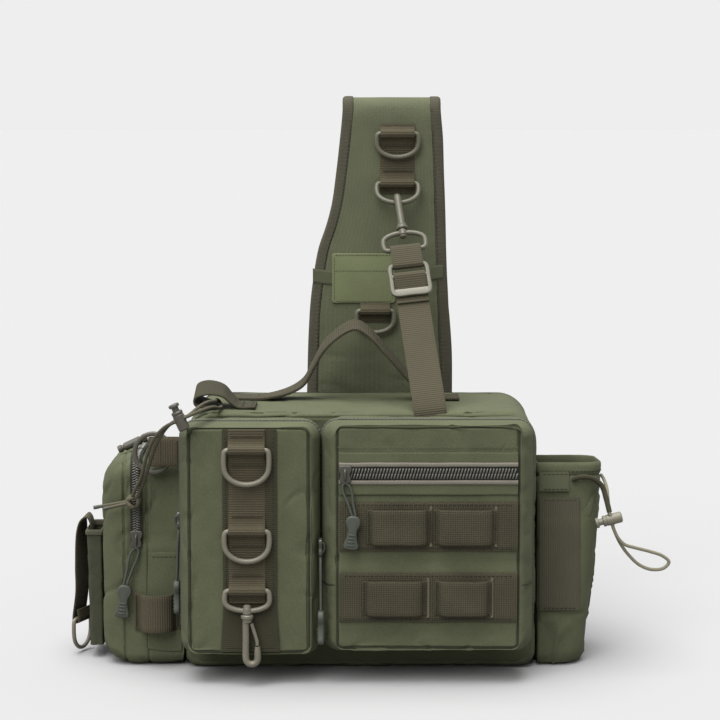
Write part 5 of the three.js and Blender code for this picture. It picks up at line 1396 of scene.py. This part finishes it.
RING_1_X = 30
RING_1_BAR = 406.5
RING_2_BAR = RING_1_BAR - 39.5
RING_3_X = 12.3
RING_3_BAR = 264.5
line = keeper_line(RING_1_X, STRAP_LAYER, RING_1_BAR + 8, RING_2_BAR - 8, [RING_1_BAR, RING_2_BAR])
piece(ribbon("keeper_upper_web", line, ACROSS, 27.4, "webbing", spacing=0.9), "strap_keeper_upper")
line = keeper_line(RING_3_X, STRAP_LAYER, 270.5, RING_3_BAR - 9, [RING_3_BAR])
piece(ribbon("keeper_lower_web", line, ACROSS, 24, "webbing", spacing=0.9), "strap_keeper_lower")
bar_tacks("keeper_tacks", RING_1_X, STRAP_LAYER, (412.8, 397, 377, 360.6), 27.4)
bar_tacks("small_keeper_tacks", RING_3_X, STRAP_LAYER, (257,), 24)
ring("ring_1_wire", 27.4, 18.6, 11, shift(RING_1_X, STRAP_LAYER - FOLD_OUT, RING_1_BAR), "hook_metal",
     body="ring_1", node="d_ring_1")
ring("ring_3_wire", 24, 17.4, 10, shift(RING_3_X, STRAP_LAYER - FOLD_OUT, RING_3_BAR), "hook_metal",
     body="ring_3", node="d_ring_3")


def line_place(at, up):
    """Z runs up along a taut line, X across it and Y away from the viewer."""
    back_way = unit(np.cross(up, ACROSS))
    place = np.eye(4)
    place[:3, :3] = np.stack([np.cross(back_way, up), back_way, up], axis=1)
    place[:3, 3] = at
    return place


# Load line: second ring, upper hook, buckle and strap
load_end = point(53, FRONT + 3, BODY_HEIGHT + SEAM + WEB)
bar_two = point(RING_1_X, STRAP_LAYER - FOLD_OUT, RING_2_BAR)
ring_up = unit((bar_two - load_end) * (0, 1, 1))
ring("ring_2_wire", 27.4, 18.2, 11, line_place(bar_two, ring_up), "hook_metal", node="d_ring_2")
load_top = bar_two - 18.2 * ring_up
load_length = float(np.linalg.norm(load_top - load_end))
RIG_OUT = -SHANK_X - THROAT
rig = line_place(load_top, unit(load_top - load_end)) @ shift(0, RIG_OUT, 0)
UPPER_REACH = 49.5
HOOK_Z = WIRE + SLACK + HOOK_WIRE - UPPER_REACH
upper_bow = rig @ shift(0, 0, HOOK_Z) @ turned("Y", math.pi)
snap_hook("upper", UPPER_REACH, upper_bow, upper_bow @ turned("Z", QUARTER), "bag", "bag", "bag",
          "hook_metal", 2.9)

BUCKLE_BAR = 3
BUCKLE_Z = HOOK_Z - 24
BUCKLE_TOP = 11.5
BUCKLE_HEIGHT = 29
buckle = rig @ shift(0, 0, BUCKLE_Z)
outer = []
corner = 3.2
low = BUCKLE_TOP - BUCKLE_HEIGHT
for quarter, (x, z) in enumerate(((1, BUCKLE_TOP), (-1, BUCKLE_TOP), (-1, low), (1, low))):
    sign = 1 if z > 0 else -1
    for share in (0, 0.5, 1):
        angle = (quarter + share) * math.pi / 2
        outer.append(point(
            x * (14.5 - corner) + corner * math.cos(angle), 0,
            z - sign * (1.5 + corner) + corner * math.sin(angle)))
    if quarter % 2 == 0:
        outer.append(point(0, 0, z - sign * 1.5))
    else:
        outer.append(point(x * 14.5, 0, (low + BUCKLE_TOP) / 2))
piece(sweep("buckle_frame", outer, block(3.4, 2.6, 0.8), "hook_metal", normal=BACKWARD, spacing=0.8,
            looped=True, place=buckle), "ladder_buckle")
piece(sweep("buckle_bar", [point(x, 0, 0) for x in (-14, 0, 14)], block(3, 2.6, 0.8), "hook_metal",
            normal=BACKWARD, place=buckle))
piece(sweep("buckle_lip", [point(x, 0, low + 4) for x in (-14, 0, 14)], block(4.4, 2.2, 0.8), "metal",
            normal=BACKWARD, place=buckle))


def web_turn(z, radius, start):
    return [point(0, radius * math.cos(a), z + radius * math.sin(a))
            for a in np.linspace(start, start + math.pi, 7)]


line = web_turn(HOOK_Z, WIRE + SLACK + WEB / 2, 0)
line += web_turn(BUCKLE_Z + BUCKLE_TOP - BUCKLE_BAR / 2, BUCKLE_BAR / 2 + SLACK + WEB / 2, math.pi)
piece(ribbon("buckle_web_loop", line, ACROSS, 24, "light_webbing", spacing=0.8, place=rig), "buckle_web")
layer = 1.3 + SLACK + WEB / 2
reach = BUCKLE_BAR / 2 + SLACK + WEB / 2
low_z = BUCKLE_Z + low
behind = layer + WEB + SLACK
line = [
    point(0, -RIG_OUT + 2.5, -load_length - 6), point(0, -RIG_OUT, -load_length),
    point(0, behind * 0.7 - RIG_OUT * 0.3, (low_z - load_length) / 2),
    point(0, behind, low_z - 0.41 * BUCKLE_HEIGHT), point(0, behind, low_z + 0.14 * BUCKLE_HEIGHT),
    point(0, reach, BUCKLE_Z + SLACK), point(0, 0.7 * reach, BUCKLE_Z + 0.75 * reach),
    point(0, 0, BUCKLE_Z + reach + SLACK / 2), point(0, -0.7 * reach, BUCKLE_Z + 0.75 * reach),
    point(0, -reach, BUCKLE_Z), point(0, -0.55 * reach, BUCKLE_Z - 0.11 * BUCKLE_HEIGHT),
    point(0, 0.55 * layer, low_z + 0.262 * BUCKLE_HEIGHT), point(0, layer, low_z + 0.155 * BUCKLE_HEIGHT),
    point(0, layer, low_z - 0.17 * BUCKLE_HEIGHT),
]
piece(ribbon("load_web", line, ACROSS, 25, "light_webbing", spacing=1, place=rig), "load_strap")

# Grab handle
HANDLE_SHAPE = [
    (0, 0), (0.13, 0), (0.25, 0.09), (0.315, 0.22), (0.355, 0.44), (0.41, 0.73), (0.5, 0.96), (0.545, 1),
    (0.59, 0.93), (0.675, 0.65), (0.78, 0.27), (0.86, 0.04), (0.9, 0), (1, 0),
]
handle_line = [point(-100 + 178 * share, 20, TOP_LAYER + 57 * rise) for share, rise in HANDLE_SHAPE]
HANDLE_TILT = [0, 0, 0.06, 0.12, 0.16, 0.18, 0.2, 0.2, 0.2, 0.17, 0.12, 0.05, 0, 0]
across = [point(0, math.cos(t), math.sin(t)) for t in HANDLE_TILT]
handle = piece(ribbon("handle_web", handle_line, across, 25, "band", thickness=2.6), "grab_handle")
wobble(handle, 0.3, 30, 16)
stitches("handle_stitches", [
    ([point(x, 20 + s, TOP_LAYER + 0.8) for s in (-10.5, 0, 10.5)], UPWARD) for x in (-97, -80, 62, 75)
], **TACK)

# Pale floor, even sky and soft suns
floor_mesh = bpy.data.meshes.new("floor")
floor_mesh.from_pydata([(-30, -30, 0), (30, -30, 0), (30, 30, 0), (-30, 30, 0)], [], [(0, 1, 2, 3)])
floor = bpy.data.objects.new("floor", floor_mesh)
bpy.context.collection.objects.link(floor)
floor_look = bpy.data.materials.new("floor")
floor_look.use_nodes = True
floor_shader = floor_look.node_tree.nodes["Principled BSDF"]
floor_shader.inputs["Base Color"].default_value = (*FLOOR_COLOUR, 1)
floor_shader.inputs["Roughness"].default_value = 1
floor_shader.inputs["Specular IOR Level"].default_value = 0
floor_mesh.materials.append(floor_look)
floor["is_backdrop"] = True

world = bpy.data.worlds.new("sky")
world.use_nodes = True
world.node_tree.nodes["Background"].inputs["Color"].default_value = (*SKY_COLOUR, 1)
bpy.context.scene.world = world
for name, power, spread, aim in (
    ("top_light", 6.6, 50, (0.1, 0.08, -1)),
    ("key_light", 2.9, 40, (0.35, 0.75, -0.75)),
):
    sun = bpy.data.lights.new(name, "SUN")
    sun.energy = power
    sun.angle = math.radians(spread)
    lamp = bpy.data.objects.new(name, sun)
    lamp.rotation_euler = Vector(aim).to_track_quat("-Z", "Y").to_euler()
    bpy.context.collection.objects.link(lamp)
bpy.context.scene.view_settings.view_transform = "Standard"

low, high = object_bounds()
